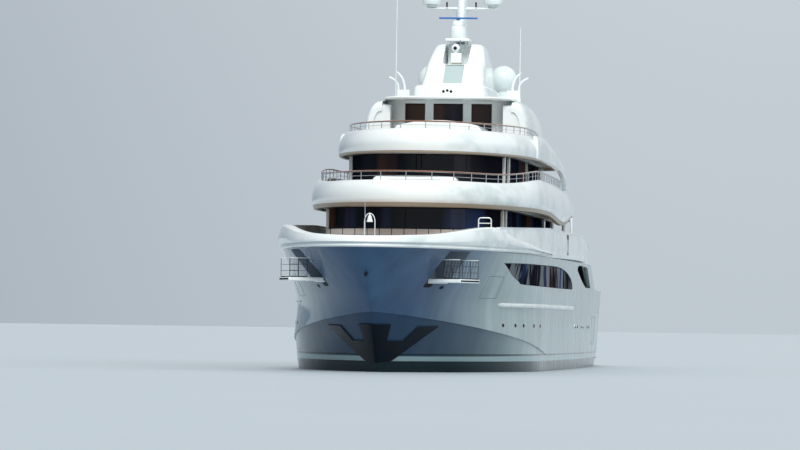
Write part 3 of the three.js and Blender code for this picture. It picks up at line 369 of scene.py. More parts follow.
def smooth(mesh, sharp):
    mesh.polygons.foreach_set("use_smooth", np.ones(len(mesh.polygons), bool))
    mesh.set_sharp_from_angle(angle=np.radians(sharp))


def placed(name, data):
    """A new object in the scene."""
    made = bpy.data.objects.new(name, data)
    bpy.context.scene.collection.objects.link(made)
    return made


def piece(name, gathered, looks=("white paint",), body="root", node=None, sharp=40):
    """One named piece of the yacht, riding its body and standing for the frame's node that it replaces."""
    made = placed(name, gathered.mesh(name, map(finish, looks), sharp))
    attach(made, body)
    if node:
        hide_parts(node)
    return made


def carve(made, tools, operation="DIFFERENCE", sharp=40):
    """Takes the gathered tools out of a piece as closed solids, and keeps the result as its own mesh."""
    cutter = placed("cutter", tools.mesh("cutter", made.data.materials))
    step = made.modifiers.new("carve", "BOOLEAN")
    step.operation, step.solver, step.object = operation, "MANIFOLD", cutter
    depsgraph = bpy.context.evaluated_depsgraph_get()
    mesh = bpy.data.meshes.new_from_object(made.evaluated_get(depsgraph), depsgraph=depsgraph)
    made.modifiers.clear()
    old, made.data = made.data, mesh
    mesh.name = made.name
    bpy.data.meshes.remove(old)
    bpy.data.meshes.remove(cutter.data)
    if not len(mesh.polygons):
        raise RuntimeError(f"carving left nothing of {made.name}")
    smooth(mesh, sharp)
    return made


# Finishes: shader node groups for what several share, and one material each

def tinted(colour, by):
    return tuple(min(by * channel, 1) for channel in colour)


class Shade:
    """Adds nodes to one shader tree and joins them: a value given as a socket is linked, any other is
    set."""

    def __init__(self, tree):
        self.tree = tree

    def add(self, kind, inputs=(), **settings):
        node = self.tree.nodes.new(kind)
        for name, value in settings.items():
            setattr(node, name, value)
        for name, value in dict(inputs).items():
            if isinstance(value, bpy.types.NodeSocket):
                self.tree.links.new(value, node.inputs[name])
            else:
                node.inputs[name].default_value = value
        return node

    def feed(self, value, node, socket):
        self.tree.links.new(value, node.inputs[socket])

    def math(self, operation, *values):
        return self.add("ShaderNodeMath", dict(enumerate(values)), operation=operation).outputs[0]

    def both(self, first, second):
        return self.math("MULTIPLY", first, second)

    def fit(self, value, low, high, to_low=0.0, to_high=1.0, kind="SMOOTHSTEP"):
        ends = {"Value": value, "From Min": low, "From Max": high, "To Min": to_low, "To Max": to_high}
        return self.add("ShaderNodeMapRange", ends, interpolation_type=kind).outputs["Result"]

    def blend(self, factor, first, second, how="MIX"):
        first, second = (value if isinstance(value, bpy.types.NodeSocket) else (*value, 1)
                         for value in (first, second))
        inputs = {0: factor, 6: first, 7: second}
        return self.add("ShaderNodeMix", inputs, data_type="RGBA", blend_type=how).outputs[2]

    def axes(self):
        place = self.add("ShaderNodeTexCoord").outputs["Object"]
        return self.add("ShaderNodeSeparateXYZ", {0: place}).outputs

    def noise(self, scale, stretch=(1, 1, 1), detail=2.0, rough=0.5):
        place = self.add("ShaderNodeTexCoord").outputs["Object"]
        drawn = self.add("ShaderNodeMapping", {"Vector": place, "Scale": stretch}).outputs[0]
        inputs = {"Vector": drawn, "Scale": scale, "Detail": detail, "Roughness": rough}
        return self.add("ShaderNodeTexNoise", inputs).outputs["Fac"]

    def facing(self, axis):
        """How far the surface faces along an axis of the model, from -1 to 1."""
        normal = self.add("ShaderNodeNewGeometry").outputs["Normal"]
        return self.add("ShaderNodeSeparateXYZ", {0: normal}).outputs[axis]

    def fed(self, name, values):
        return self.add("ShaderNodeGroup", values, node_tree=bpy.data.node_groups[name]).outputs


def effect(name, inputs, outputs):
    """A new node group with its named sockets: its shade, what it is given, and the node that it feeds."""
    tree = bpy.data.node_groups.new(name, "ShaderNodeTree")
    for socket, value in inputs.items():
        made = tree.interface.new_socket(socket, in_out="INPUT", socket_type="NodeSocketFloat")
        made.default_value = value
    for socket in outputs:
        tree.interface.new_socket(socket, in_out="OUTPUT", socket_type="NodeSocketFloat")
    shade = Shade(tree)
    return shade, shade.add("NodeGroupInput").outputs, shade.add("NodeGroupOutput")


def effect_ripple():
    """Slow waves in a sprayed surface: soft noise, longer up and down than along, as a bump's height."""
    shade, given, out = effect("ripple", {"Scale": 6.0}, ["Height"])
    shade.feed(shade.noise(given["Scale"], (1, 1, 0.35), detail=1.0), out, "Height")


def effect_weather():
    """Rain marks and salt: thin upright streaks where two noises are both high, as a mask."""
    shade, given, out = effect("weather", {"Amount": 0.3, "Scale": 9.0}, ["Mask"])
    streak = shade.noise(given["Scale"], (1, 1, 0.06), detail=3.0, rough=0.6)
    cloud = shade.noise(given["Scale"], (0.3, 0.3, 0.3))
    marks = shade.both(shade.fit(streak, 0.45, 0.75), shade.fit(cloud, 0.4, 0.7))
    shade.feed(shade.both(marks, given["Amount"]), out, "Mask")


def effect_planks():
    """Deck planks along the ship: the place across is cut into widths, a share of each is the seam, and every
    plank draws its own tint."""
    shade, given, out = effect("planks", {"Width": 0.012, "Seam": 0.12}, ["Seam", "Tint"])
    across = shade.math("DIVIDE", shade.axes()["Y"], given["Width"])
    middle = shade.math("ABSOLUTE", shade.math("SUBTRACT", shade.math("FRACT", across), 0.5))
    start = shade.math("SUBTRACT", 0.5, given["Seam"])
    shade.feed(shade.math("GREATER_THAN", middle, start), out, "Seam")
    drawn = shade.add("ShaderNodeTexWhiteNoise", {"W": shade.math("FLOOR", across)}, noise_dimensions="1D")
    shade.feed(drawn.outputs["Value"], out, "Tint")


def effect_grain():
    """Wood grain along the ship: noise drawn out thirty times lengthways."""
    shade, given, out = effect("grain", {"Scale": 300.0}, ["Value"])
    shade.feed(shade.noise(given["Scale"], (0.03, 1, 1), detail=4.0, rough=0.65), out, "Value")


def material(name, colour, rough, metal=0.0, coat=0.0, level=0.5):
    """A new material: its Shade and the Principled node with its plain values set."""
    made = bpy.data.materials.new(name)
    made.use_nodes = True
    shade = Shade(made.node_tree)
    surface = made.node_tree.nodes["Principled BSDF"]
    values = {"Base Color": (*colour, 1), "Roughness": rough, "Metallic": metal, "Coat Weight": coat,
              "Coat Roughness": 0.03, "Coat IOR": 1.3, "Specular IOR Level": level}
    for socket, value in values.items():
        surface.inputs[socket].default_value = value
    made.diffuse_color = (*colour, 1)
    return shade, surface


def raise_surface(shade, surface, height, distance, strength=0.4):
    bump = shade.add("ShaderNodeBump", {"Height": height, "Distance": distance, "Strength": strength})
    shade.feed(bump.outputs[0], surface, "Normal")


def painted(name, colour, rough, coat, ripple=5.0, dirt=0.25, depth=0.0008):
    """Sprayed paint: a slow ripple under a clear coat, with a little weather in the colour and the
    gloss."""
    shade, surface = material(name, colour, rough, coat=coat)
    mask = shade.fed("weather", {"Amount": dirt})["Mask"]
    tint = shade.blend(mask, colour, tinted(colour, 0.72))
    shade.feed(tint, surface, "Base Color")
    shade.feed(shade.fit(mask, 0, 1, rough, rough + 0.25, "LINEAR"), surface, "Roughness")
    raise_surface(shade, surface, shade.fed("ripple", {"Scale": ripple})[0], depth)
    return shade, surface


def painted_reflection_to_port(shade, surface, colour):
    """Soft patches of a darker tint where gloss paint faces port: painted reflection of the shore."""
    plain = surface.inputs["Base Color"].links[0].from_socket
    cloud = shade.noise(3.2, (1, 1, 1.6), detail=3.0, rough=0.6)
    facing = shade.fit(shade.facing("Y"), 0.35, 0.85)
    share = shade.both(facing, shade.fit(cloud, 0.42, 0.62, 0.05, 0.55))
    shade.feed(shade.blend(share, plain, colour), surface, "Base Color")


def hull_paint(lines, colours):
    """Gloss hull paint by place. Slate blue at the bow runs to silver along the sides: painted shade and
    painted reflection of dark water. It is deeper and duller below the knuckle, as painted shade, and upright
    streaks lighten and darken it as painted reflections. A thin dark line and a pale boot stripe lie over the
    bottom paint."""
    coat, level = 0.2, 0.16
    shade, surface = material("hull paint", colours.hull_side, 0.2, coat=coat, level=level)
    x, _, z = shade.axes()
    aft = shade.math("SUBTRACT", MIDSHIP, shade.math("DIVIDE", x, SHIP))
    up = shade.math("DIVIDE", z, SHIP)
    # Painted shade and reflection: the bow's dark slate blue fades into the side's silver along the ship
    towards = shade.fit(aft, lines.bow_painted_shade_end, lines.bow_painted_shade_gone)
    body = shade.blend(towards, colours.hull_bow_painted_shade, colours.hull_side)
    # Upright streaks that lighten and darken the paint: painted reflections
    streak = shade.noise(9.0, (1, 1, 0.05), detail=3.0)
    cloud = shade.fit(streak, 0.3, 0.7, 0.84, 1.1, "LINEAR")
    grey = shade.add("ShaderNodeCombineXYZ", {0: cloud, 1: cloud, 2: cloud}).outputs[0]
    body = shade.blend(1.0, body, grey, "MULTIPLY")
    # Below the knuckle the paint is darkened towards the bow's blue, fading aft: painted shade
    up_bow, up_mid, _, stem = LEVELS[KNUCKLE_ROW, :4]
    knuckle = shade.fit(aft, stem, FULL_AT, up_bow, up_mid, "LINEAR")
    fade = shade.both(shade.fit(aft, lines.shade_gone, lines.shade_full), lines.knuckle_shade)
    below = shade.both(shade.math("LESS_THAN", up, knuckle), fade)
    body = shade.blend(below, body, tinted(colours.hull_bow_painted_shade, 0.45))
    shade.feed(shade.fit(below, 0, 1, coat, 0.0, "LINEAR"), surface, "Coat Weight")
    shade.feed(shade.fit(below, 0, 1, level, 0.04, "LINEAR"), surface, "Specular IOR Level")

    def stripe(low, high):
        return shade.both(shade.math("GREATER_THAN", up, low), shade.math("LESS_THAN", up, high))
    body = shade.blend(stripe(lines.fine_low, lines.fine_high), body, colours.bottom)
    body = shade.blend(stripe(lines.boot_low, lines.boot_high), body, colours.boot)
    body = shade.blend(shade.math("LESS_THAN", up, lines.boot_low), body, colours.bottom)
    shade.feed(body, surface, "Base Color")
    dull = shade.fit(shade.noise(30.0, (1, 1, 0.2)), 0.35, 0.7, 0.12, 0.24, "LINEAR")
    bottom = shade.both(shade.math("LESS_THAN", up, 0.0), 0.4)
    shade.feed(shade.math("ADD", dull, bottom), surface, "Roughness")
    raise_surface(shade, surface, shade.fed("ripple", {"Scale": 3.5})[0], 0.002, 0.3)


def glass_finish(name, colours, level, glow, streaks=0.0):
    """Dark tinted glass: nearly black, with the faint upright bands of blinds behind it, and for the salon a
    share of bright upright streaks, which are painted reflections. It mirrors less on what faces port or
    starboard."""
    shade, surface = material(name, colours.glass, 0.03, coat=0.0, level=level)
    bands = shade.noise(2.6, (1, 2.4, 0.12), detail=1.0)
    warmth = shade.noise(1.3, (1.3, 3.1, 0.3), detail=0.0)
    room = shade.blend(shade.fit(warmth, 0.42, 0.6), colours.room_cool, colours.room_warm)
    seen = shade.both(shade.fit(bands, 0.45, 0.62), glow)
    look = shade.blend(seen, colours.glass, room)
    # Bright upright streaks in the salon glass: painted reflections
    if streaks:
        long = shade.noise(5.0, (1, 1, 0.25), detail=3.0, rough=0.6)
        bright = shade.both(shade.fit(long, 0.5, 0.56), streaks)
        look = shade.blend(bright, look, colours.streak)
    shade.feed(look, surface, "Base Color")
    sideways = shade.math("ABSOLUTE", shade.facing("Y"))
    shade.feed(shade.fit(sideways, 0.55, 0.9, level, 0.0), surface, "Specular IOR Level")
    raise_surface(shade, surface, shade.fed("ripple", {"Scale": 2.0})[0], 0.001, 0.15)


def metal_finish(name, colour, rough, metal=1.0, level=0.5):
    """Polished or satin metal: fine noise moves the gloss."""
    shade, surface = material(name, colour, rough, metal, level=level)
    fine = shade.noise(60.0, detail=3.0)
    gloss = shade.fit(fine, 0.3, 0.7, rough * 0.8, rough * 1.3, "LINEAR")
    shade.feed(gloss, surface, "Roughness")
    raise_surface(shade, surface, fine, 0.0002, 0.15)


def teak_finish(name, colours, wood, coat, seams):
    """Teak: planks with dark seams on what faces up, painted edges below, or grain alone under varnish."""
    shade, surface = material(name, wood, 0.6 if seams else 0.25, coat=coat)
    grain = shade.fed("grain", {"Scale": 250.0})[0]
    light_wood, dark_wood = tinted(wood, 1.25), tinted(wood, 0.6)
    look = shade.blend(shade.fit(grain, 0.3, 0.7), dark_wood, light_wood)
    height = grain
    if seams:
        planks = shade.fed("planks", {"Width": 0.014})
        look = shade.blend(shade.both(planks["Tint"], 0.35), look, light_wood)
        look = shade.blend(planks["Seam"], look, colours.caulk)
        height = shade.math("SUBTRACT", 1.0, planks["Seam"])
        level = shade.math("GREATER_THAN", shade.facing("Z"), 0.5)
        look = shade.blend(level, colours.deck_edge, look)
    shade.feed(look, surface, "Base Color")
    raise_surface(shade, surface, height, 0.0004, 0.3)


def cloth_finish(name, colour):
    """Outdoor canvas: a fine weave of two crossed waves over a soft tint."""
    shade, surface = material(name, colour, 0.85)
    surface.inputs["Sheen Weight"].default_value = 0.3
    x, y, _ = shade.axes()
    threads = 2600.0
    waves = [shade.math("SINE", shade.both(axis, threads)) for axis in (x, y)]
    weave = shade.both(*waves)
    tint = shade.fit(shade.noise(14.0), 0.3, 0.7, 0.0, 0.5, "LINEAR")
    shade.feed(shade.blend(tint, colour, tinted(colour, 0.8)), surface, "Base Color")
    raise_surface(shade, surface, weave, 0.0003, 0.3)


def finish(name):
    return bpy.data.materials[name]


# Hull form: rows drawn through the frame's eleven levels, from the keel to the sheer

LEVELS = np.array([
    # up at the bow, amidships and stern; stem; stern end; half-breadth; entry; fine; full; stern half-breadth
    (-3.9, -3.9, -3.9, 11.2, 50, 1.3, 14, 1.8, 0.9, 0.3),
    (-3.5, -3.65, -3.3, 9.6, 56, 4.9, 26, 1.8, 1.05, 2.4),
    (-2.6, -2.9, -2.3, 8.5, 62, 6.3, 29, 1.8, 1.0, 4.0),
    (-1.6, -1.7, -1.4, 7.7, 68, 6.75, 25, 1.9, 0.98, 4.9),
    (-0.7, -0.7, -0.75, 7.2, 74, 6.85, 22, 1.95, 0.97, 5.3),
    (0.0, 0.0, -0.3, 6.8, 80, 6.9, 20.5, 2.0, 0.95, 5.5),
    (0.7, 0.45, 0.4, 6.15, 80, 6.93, 20.5, 2.0, 0.92, 5.6),
    (3.25, 0.95, 1.1, 3.75, 79.7, 6.95, 23, 2.05, 0.84, 5.75),
    (4.1, 3.9, 3.9, 2.6, 78.8, 6.97, 26.5, 2.0, 0.76, 6.0),
    (5.05, 5.05, 5.05, 1.65, 78.4, 7.0, 26, 2.0, 0.685, 6.1),
    (6.63, 6.63, 6.63, 0.05, 77.8, 7.0, 28, 2.4, 0.52, 6.2),
])
WATER_ROW, KNUCKLE_ROW = 5, 7
FULL_AT, RUN_AT, NARROW_AT = 30.0, 50.0, 40.0
LOWER_STEPS, UPPER_STEPS = 6, 8
TUCK_DEPTH = 0.09
LOWER_ROWS = through(LEVELS[:KNUCKLE_ROW + 1], LOWER_STEPS)
HULL_ROWS = np.vstack([LOWER_ROWS, through(LEVELS[KNUCKLE_ROW:], UPPER_STEPS)])
ROW_PLACE = np.arange(len(HULL_ROWS)) / LOWER_STEPS
TUCK = TUCK_DEPTH * np.clip((ROW_PLACE - WATER_ROW) / (KNUCKLE_ROW - WATER_ROW), 0, 1)
TUCK[len(LOWER_ROWS):] = 0


def level_up(rows, aft):
    """Height of each row at a place: it runs straight from the stem to amidships, and again over the
    run."""
    up_bow, up_mid, up_stern, stem, stern = rows.T[:5, :, None]
    bow = up_bow + (up_mid - up_bow) * np.clip((aft - stem) / (FULL_AT - stem), 0, 1)
    run = np.clip((aft - RUN_AT) / np.maximum(stern - RUN_AT, 0.01), 0, 1)
    return bow + (up_stern - up_mid) * run


def level_breadth(rows, aft):
    """Half-breadth of each row: the beam times (1 - (1 - u)^fine)^full over the entry, less the part lost
    towards the stern, which grows as the 2.2nd power."""
    stem, stern, beam, entry, fine, full, stern_beam = rows.T[3:, :, None]
    u = np.clip((aft - stem) / entry, 0, 1)
    v = np.clip((aft - NARROW_AT) / (stern - NARROW_AT), 0, 1)
    return beam * (1 - (1 - u) ** fine) ** full - (beam - stern_beam) * v**2.2


def hull_skin(aft, up):
    """Half-breadth of the skin at places: between the two rows around each height."""
    aft, up = np.broadcast_arrays(np.asarray(aft, float), np.asarray(up, float))
    flat = aft.ravel()[None]
    ups, breadths = level_up(HULL_ROWS, flat), level_breadth(HULL_ROWS, flat)
    above = np.clip((ups < up.ravel()).sum(axis=0), 1, len(HULL_ROWS) - 1)[None]
    low, high = (np.take_along_axis(ups, row, 0)[0] for row in (above - 1, above))
    inner, outer = (np.take_along_axis(breadths, row, 0)[0] for row in (above - 1, above))
    share = np.clip((up.ravel() - low) / np.maximum(high - low, 1e-6), 0, 1)
    return (inner + (outer - inner) * share).reshape(aft.shape)


def sheer(aft):
    """Half-breadth of the hull's top edge."""
    return level_breadth(LEVELS[-1:], np.asarray(aft, float)[None])[0]


def mirror_loops(nose, port):
    """Loops that start on the centreline, run down the port side and come back up the starboard side."""
    return np.concatenate([nose[:, None], port, port[:, ::-1] * [1, -1, 1]], axis=1)


def hull_body(inset=0.0, stations=150):
    """The whole hull as a stack of rows, its skin moved in by inset. A small tuck under the knuckle, which
    fades at the stem and amidships, draws it as a crisp line."""
    share = np.linspace(0, 1, stations + 1)[1:] ** 1.7
    stem, stern = HULL_ROWS[:, 3, None], HULL_ROWS[:, 4, None]
    place = stem + (stern - stem) * share
    up, breadth = level_up(HULL_ROWS, place), level_breadth(HULL_ROWS, place)
    tuck = TUCK[:, None] * ramp(place - stem, 0.2, 2.5) * (1 - ramp(place, 24, 36))
    breadth = np.maximum(breadth - tuck - inset, 0.01 + 0.4 * share)
    port = np.stack([place + inset * (1.4 - 2.4 * share), breadth, up], axis=-1)
    nose = np.stack([stem[:, 0] + 1.4 * inset, 0 * stem[:, 0], HULL_ROWS[:, 0]], axis=-1)
    return loft(mirror_loops(nose, port), cap="mirror")


def edge_up(keys, aft):
    """Height of an edge at places, from a smooth line through (aft, up) keys."""
    line = curve(keys, 8)
    return np.interp(aft, line[:, 0], line[:, 1])


def skin_slab(aft, low, high, out, deep, across=6):
    """A slab of the hull's skin between a low and a high edge, from out outside the skin to deep inside
    it."""
    aft = np.asarray(aft, float)
    low, high = np.broadcast_to(low, aft.shape), np.broadcast_to(high, aft.shape)
    up = low[:, None] + (high - low)[:, None] * np.linspace(0, 1, across)
    aft = np.broadcast_to(aft[:, None], up.shape)
    skin = hull_skin(aft, up)
    outer, inner = (places(aft, skin + off, up) for off in (out, -deep))
    return loft(np.concatenate([outer, inner[:, ::-1]], axis=1), cap="pairs")


# Plans of decks and houses, and what is carried round them

Plan = namedtuple("Plan", "nose shoulder beam tail tail_beam corner blunt", defaults=(1.0,))
BRIDGE_PLAN = Plan(15.5, 30, 6.7, 62, 5.9, 3.2)
SUN_PLAN = Plan(22.3, 35, 5.9, 54, 5.7, 2.4)
HARDTOP_PLAN = Plan(36, 39.5, 4.0, 52, 3.85, 1.2, 0.7)
NOSE_STEPS, SIDE_STEPS, TAIL_STEPS = 40, 26, 8


def plan_half(plan, inset=0.0):
    """Port half of a plan, nose to tail, for each inset: a rounded nose whose cosine and sine are raised to
    the plan's bluntness, a side that draws in as the square of its length, and a quarter circle at the
    tail."""
    inset = np.atleast_1d(np.asarray(inset, float))[:, None]
    turn = np.linspace(0, np.pi / 2, NOSE_STEPS + 1)[None]
    reach, out = np.clip(np.cos(turn), 0, 1) ** plan.blunt, np.sin(turn) ** plan.blunt
    nose = [plan.shoulder - (plan.shoulder - plan.nose - inset) * reach, (plan.beam - inset) * out]
    share = np.linspace(0, 1, SIDE_STEPS + 1)[None, 1:]
    end = plan.tail - inset - plan.corner
    side = [plan.shoulder + (end - plan.shoulder) * share, lerp(plan.beam, plan.tail_beam, share**2) - inset]
    turn = np.linspace(0, np.pi / 2, TAIL_STEPS + 1)[None, 1:]
    tail = [end + plan.corner * np.sin(turn), plan.tail_beam - inset - plan.corner * (1 - np.cos(turn))]
    aft = [np.broadcast_to(part[0], (len(inset), part[1].shape[1])) for part in (nose, side, tail)]
    port = [nose[1], side[1], tail[1]]
    return np.stack([np.concatenate(aft, axis=1), np.concatenate(port, axis=1)], axis=-1)


def plan_loops(plan, levels):
    """Closed loops of a plan at levels of (inset, up), where up is a number or a function of the place."""
    half = plan_half(plan, [inset for inset, _ in levels])
    ups = np.stack([np.broadcast_to(up(row[:, 0]) if callable(up) else up, len(row))
                    for row, (_, up) in zip(half, levels)])
    port = np.concatenate([half, ups[..., None]], axis=-1)
    return mirror_loops(port[:, 0], port[:, 1:])


def stack(plan, levels):
    """A deck or roof: the plan's loops stacked and closed flat below and above."""
    return loft(plan_loops(plan, levels), cap="mirror")


def bands(shape, count, per_row, ends):
    """Finish numbers of a stack of loops of count points: one for each row of faces, and one for each end."""
    walls = np.repeat(per_row, count)
    rest = len(shape[1]) - len(walls)
    return np.concatenate([walls, np.repeat(ends, [rest // 2, rest - rest // 2])])


def plan_line(plan, inset, end):
    """The plan's outline as one line round the bow, from the starboard side at end to the port side at
    end."""
    half = plan_half(plan, inset)[0]
    half = half[half[:, 0] <= end]
    return np.vstack([half[:0:-1] * [1, -1], half])


def sweep(line, section, cap="pairs"):
    """Carries a section of (out, up) points along a plan line, square to it. The section may change along
    it."""
    ahead = unit(np.gradient(line, axis=0))
    out = np.stack([-ahead[:, 1], ahead[:, 0]], axis=1)
    section = np.broadcast_to(section, (len(line), *np.shape(section)[-2:]))
    flat = line[:, None] + section[..., :1] * out[:, None]
    return loft(np.concatenate([flat, section[..., 1:]], axis=-1), cap=cap)


def wall(line, thick, low, high):
    """An upright wall inside a plan line, between two heights that may change along it."""
    low, high = (np.broadcast_to(level, len(line)) for level in (low, high))
    corners = [(0 * low, low), (0 * low, high), (0 * low - thick, high), (0 * low - thick, low)]
    return sweep(line, np.stack([np.stack(corner, axis=-1) for corner in corners], axis=1))


def evenly(line, step):
    """The same line with points at even steps of its length."""
    whole = runs(line)[-1]
    return at_runs(line, np.linspace(0, whole, max(int(round(whole / step)), 1) + 1))


# Sizes and colours that a user would change

def colour(name, value):
    return FloatVectorProperty(name=name, description=f"{name}, scene linear", subtype="COLOR", size=3,
                               min=0, max=1, default=value)


def number(name, value, words, unit="NONE"):
    return FloatProperty(name=name, description=words, default=value, unit=unit)


class YachtColours(bpy.types.PropertyGroup):
    """Colours of the paints, metals, woods and plastics."""
    # The bow's slate blue is painted shade and painted reflection of dark water
    hull_bow_painted_shade: colour("Hull at the bow", (0.045, 0.10, 0.19))
    hull_side: colour("Hull along the side", (0.32, 0.41, 0.42))
    bottom: colour("Bottom paint", (0.012, 0.028, 0.035))
    boot: colour("Boot stripe", (0.30, 0.42, 0.44))
    white: colour("White paint", (0.83, 0.88, 0.88))
    # Darker patches on port-facing white paint: painted reflection
    white_painted_reflection: colour("Patches on the white paint", (0.42, 0.52, 0.52))
    soffit: colour("Soffit paint", (0.36, 0.31, 0.24))
    warm: colour("House paint", (0.66, 0.62, 0.60))
    # Near-black paint inside holes and recesses: painted shade
    inner: colour("Paint inside the hull", (0.10, 0.11, 0.12))
    # Hull colour darkened inside the platforms' recesses: painted shade
    recess: colour("Paint of the platforms' recesses", (0.22, 0.27, 0.33))
    seal: colour("Black seal", (0.010, 0.011, 0.014))
    glass: colour("Tinted glass", (0.008, 0.009, 0.014))
    room_cool: colour("Cool things behind the glass", (0.022, 0.045, 0.13))
    room_warm: colour("Warm things behind the glass", (0.075, 0.036, 0.024))
    # Streaks in the salon glass are painted reflections
    streak: colour("Streaks in the salon glass", (0.34, 0.38, 0.40))
    teak: colour("Deck teak", (0.36, 0.22, 0.12))
    caulk: colour("Deck seams", (0.02, 0.018, 0.016))
    deck_edge: colour("Edges below the teak", (0.74, 0.78, 0.78))
    varnish: colour("Varnished rail", (0.30, 0.10, 0.035))
    canvas: colour("Cushions", (0.62, 0.62, 0.58))
    steel: colour("Stainless steel", (0.62, 0.65, 0.67))
    # Near-black base colour on polished steel: painted reflection of dark water
    dark_steel: colour("Dark stem plates", (0.006, 0.012, 0.020))
    bronze: colour("Propeller bronze", (0.52, 0.30, 0.11))
    blue: colour("Radar blue", (0.02, 0.13, 0.42))
    dome: colour("Antenna domes", (0.70, 0.77, 0.77))
    grille: colour("Grille grey", (0.44, 0.54, 0.54))


class YachtLines(bpy.types.PropertyGroup):
    """Places of the painted lines on the hull, in metres of the ship."""
    # Where the painted shade and reflection at the bow fades into the side's silver
    bow_painted_shade_end: number("Blue ends", 5.0, "Where the bow's blue starts to fade", "LENGTH")
    bow_painted_shade_gone: number("Silver starts", 16.0, "Where the side is all silver", "LENGTH")
    knuckle_shade: number("Shade under the knuckle", 0.75, "How far the paint darkens below the knuckle")
    shade_full: number("Full shade ends", 12.0, "Where the shade under the knuckle starts to fade", "LENGTH")
    shade_gone: number("Shade ends", 24.0, "Where the shade under the knuckle is gone", "LENGTH")
    fine_low: number("Fine line low", 0.92, "Above the water", "LENGTH")
    fine_high: number("Fine line high", 1.0, "Above the water", "LENGTH")
    boot_low: number("Boot stripe low", 0.6, "Above the water", "LENGTH")
    boot_high: number("Boot stripe high", 0.86, "Above the water", "LENGTH")


class YachtStage(bpy.types.PropertyGroup):
    """Camera and light."""
    lens: number("Lens", 225.0, "Focal length in millimetres on a 36 mm sensor")
    heading: number("Heading", 7.0, "Degrees from dead ahead towards the port side")
    tilt: number("Tilt", 0.85, "Roll of the photograph in degrees")
    key: number("Key light", 1.9, "Strength of the sun")
    fill: number("Sky light", 0.88, "Strength of the pale world")
    floor: colour("Pale floor", (0.44, 0.50, 0.55))


def place_camera():
    """The camera stands 263 m from the stem head, off the port bow, and 2.5 m above the water. The
    picture's middle looks off_x pixels right of its heading and off_y above it, for a lens of focus_px
    pixels."""
    stage = bpy.context.scene.yacht_stage
    heading, tilt = np.radians(stage.heading), np.radians(stage.tilt)
    stand, focus_px, off_x, off_y = (303.296, 34.037, 2.5), 5000.0, -1.498, 100.99
    ahead = np.array([-np.cos(heading), -np.sin(heading), 0])
    level = np.array([-np.sin(heading), np.cos(heading), 0])
    right = np.cos(tilt) * level + [0, 0, np.sin(tilt)]
    look = unit(ahead + (level * off_x + np.array([0, 0, off_y])) / focus_px)
    right = unit(right - look * (right @ look))
    turn = Matrix(np.stack([right, np.cross(right, look), -look], axis=1).tolist()).to_4x4()
    lens = bpy.data.cameras.new("camera")
    lens.lens, lens.sensor_width, lens.clip_start, lens.clip_end = stage.lens, 36, 0.5, 2000
    eye = placed("camera", lens)
    eye.matrix_world = Matrix.Translation(Vector(stand) * SHIP) @ turn
    bpy.context.scene.camera = eye


def light(name, kind, strength, towards, **settings):
    """A lamp that shines along a direction."""
    lamp = bpy.data.lights.new(name, kind)
    lamp.energy = strength
    for key, value in settings.items():
        setattr(lamp, key, value)
    made = placed(name, lamp)
    made.rotation_mode = "QUATERNION"
    made.rotation_quaternion = Vector(towards).to_track_quat("-Z", "Y")


def build_stage():
    """Pale floor at the waterline, a pale sky that is dimmer to starboard, a soft sun from ahead and above,
    and a weaker one from port."""
    stage = bpy.context.scene.yacht_stage
    shade, surface = material("floor", stage.floor, 0.55)
    cloud = shade.noise(0.35, detail=2.0)
    shade.feed(shade.blend(cloud, stage.floor, tinted(stage.floor, 0.93)), surface, "Base Color")
    half = 400.0
    mesh = bpy.data.meshes.new("floor")
    corners = [(-half, -half, 0), (half, -half, 0), (half, half, 0), (-half, half, 0)]
    mesh.from_pydata(corners, [], [(0, 1, 2, 3)])
    mesh.materials.append(finish("floor"))
    placed("floor", mesh)
    world = bpy.data.worlds.new("sky")
    world.use_nodes = True
    bpy.context.scene.world = world
    sky = Shade(world.node_tree)
    ground = world.node_tree.nodes["Background"]
    place = sky.add("ShaderNodeTexCoord").outputs["Generated"]
    _, port, up = sky.add("ShaderNodeSeparateXYZ", {0: place}).outputs
    tone = sky.blend(sky.fit(up, -0.05, 0.4), (0.58, 0.65, 0.71), (0.96, 0.99, 1.0))
    dim = sky.both(sky.fit(port, -0.05, -0.5), sky.fit(up, 0.75, 0.05))
    tone = sky.blend(sky.both(dim, 0.9), tone, (0.09, 0.15, 0.24))
    sky.feed(tone, ground, "Color")
    ground.inputs["Strength"].default_value = stage.fill
    light("sun", "SUN", stage.key, (-0.75, -0.06, -0.66), angle=0.35, color=(1.0, 0.99, 0.96))
    light("side fill", "SUN", 0.16 * stage.key, (-0.35, -0.85, -0.35), angle=0.9, color=(0.92, 0.96, 1.0))
    bpy.context.scene.view_settings.view_transform = "Standard"


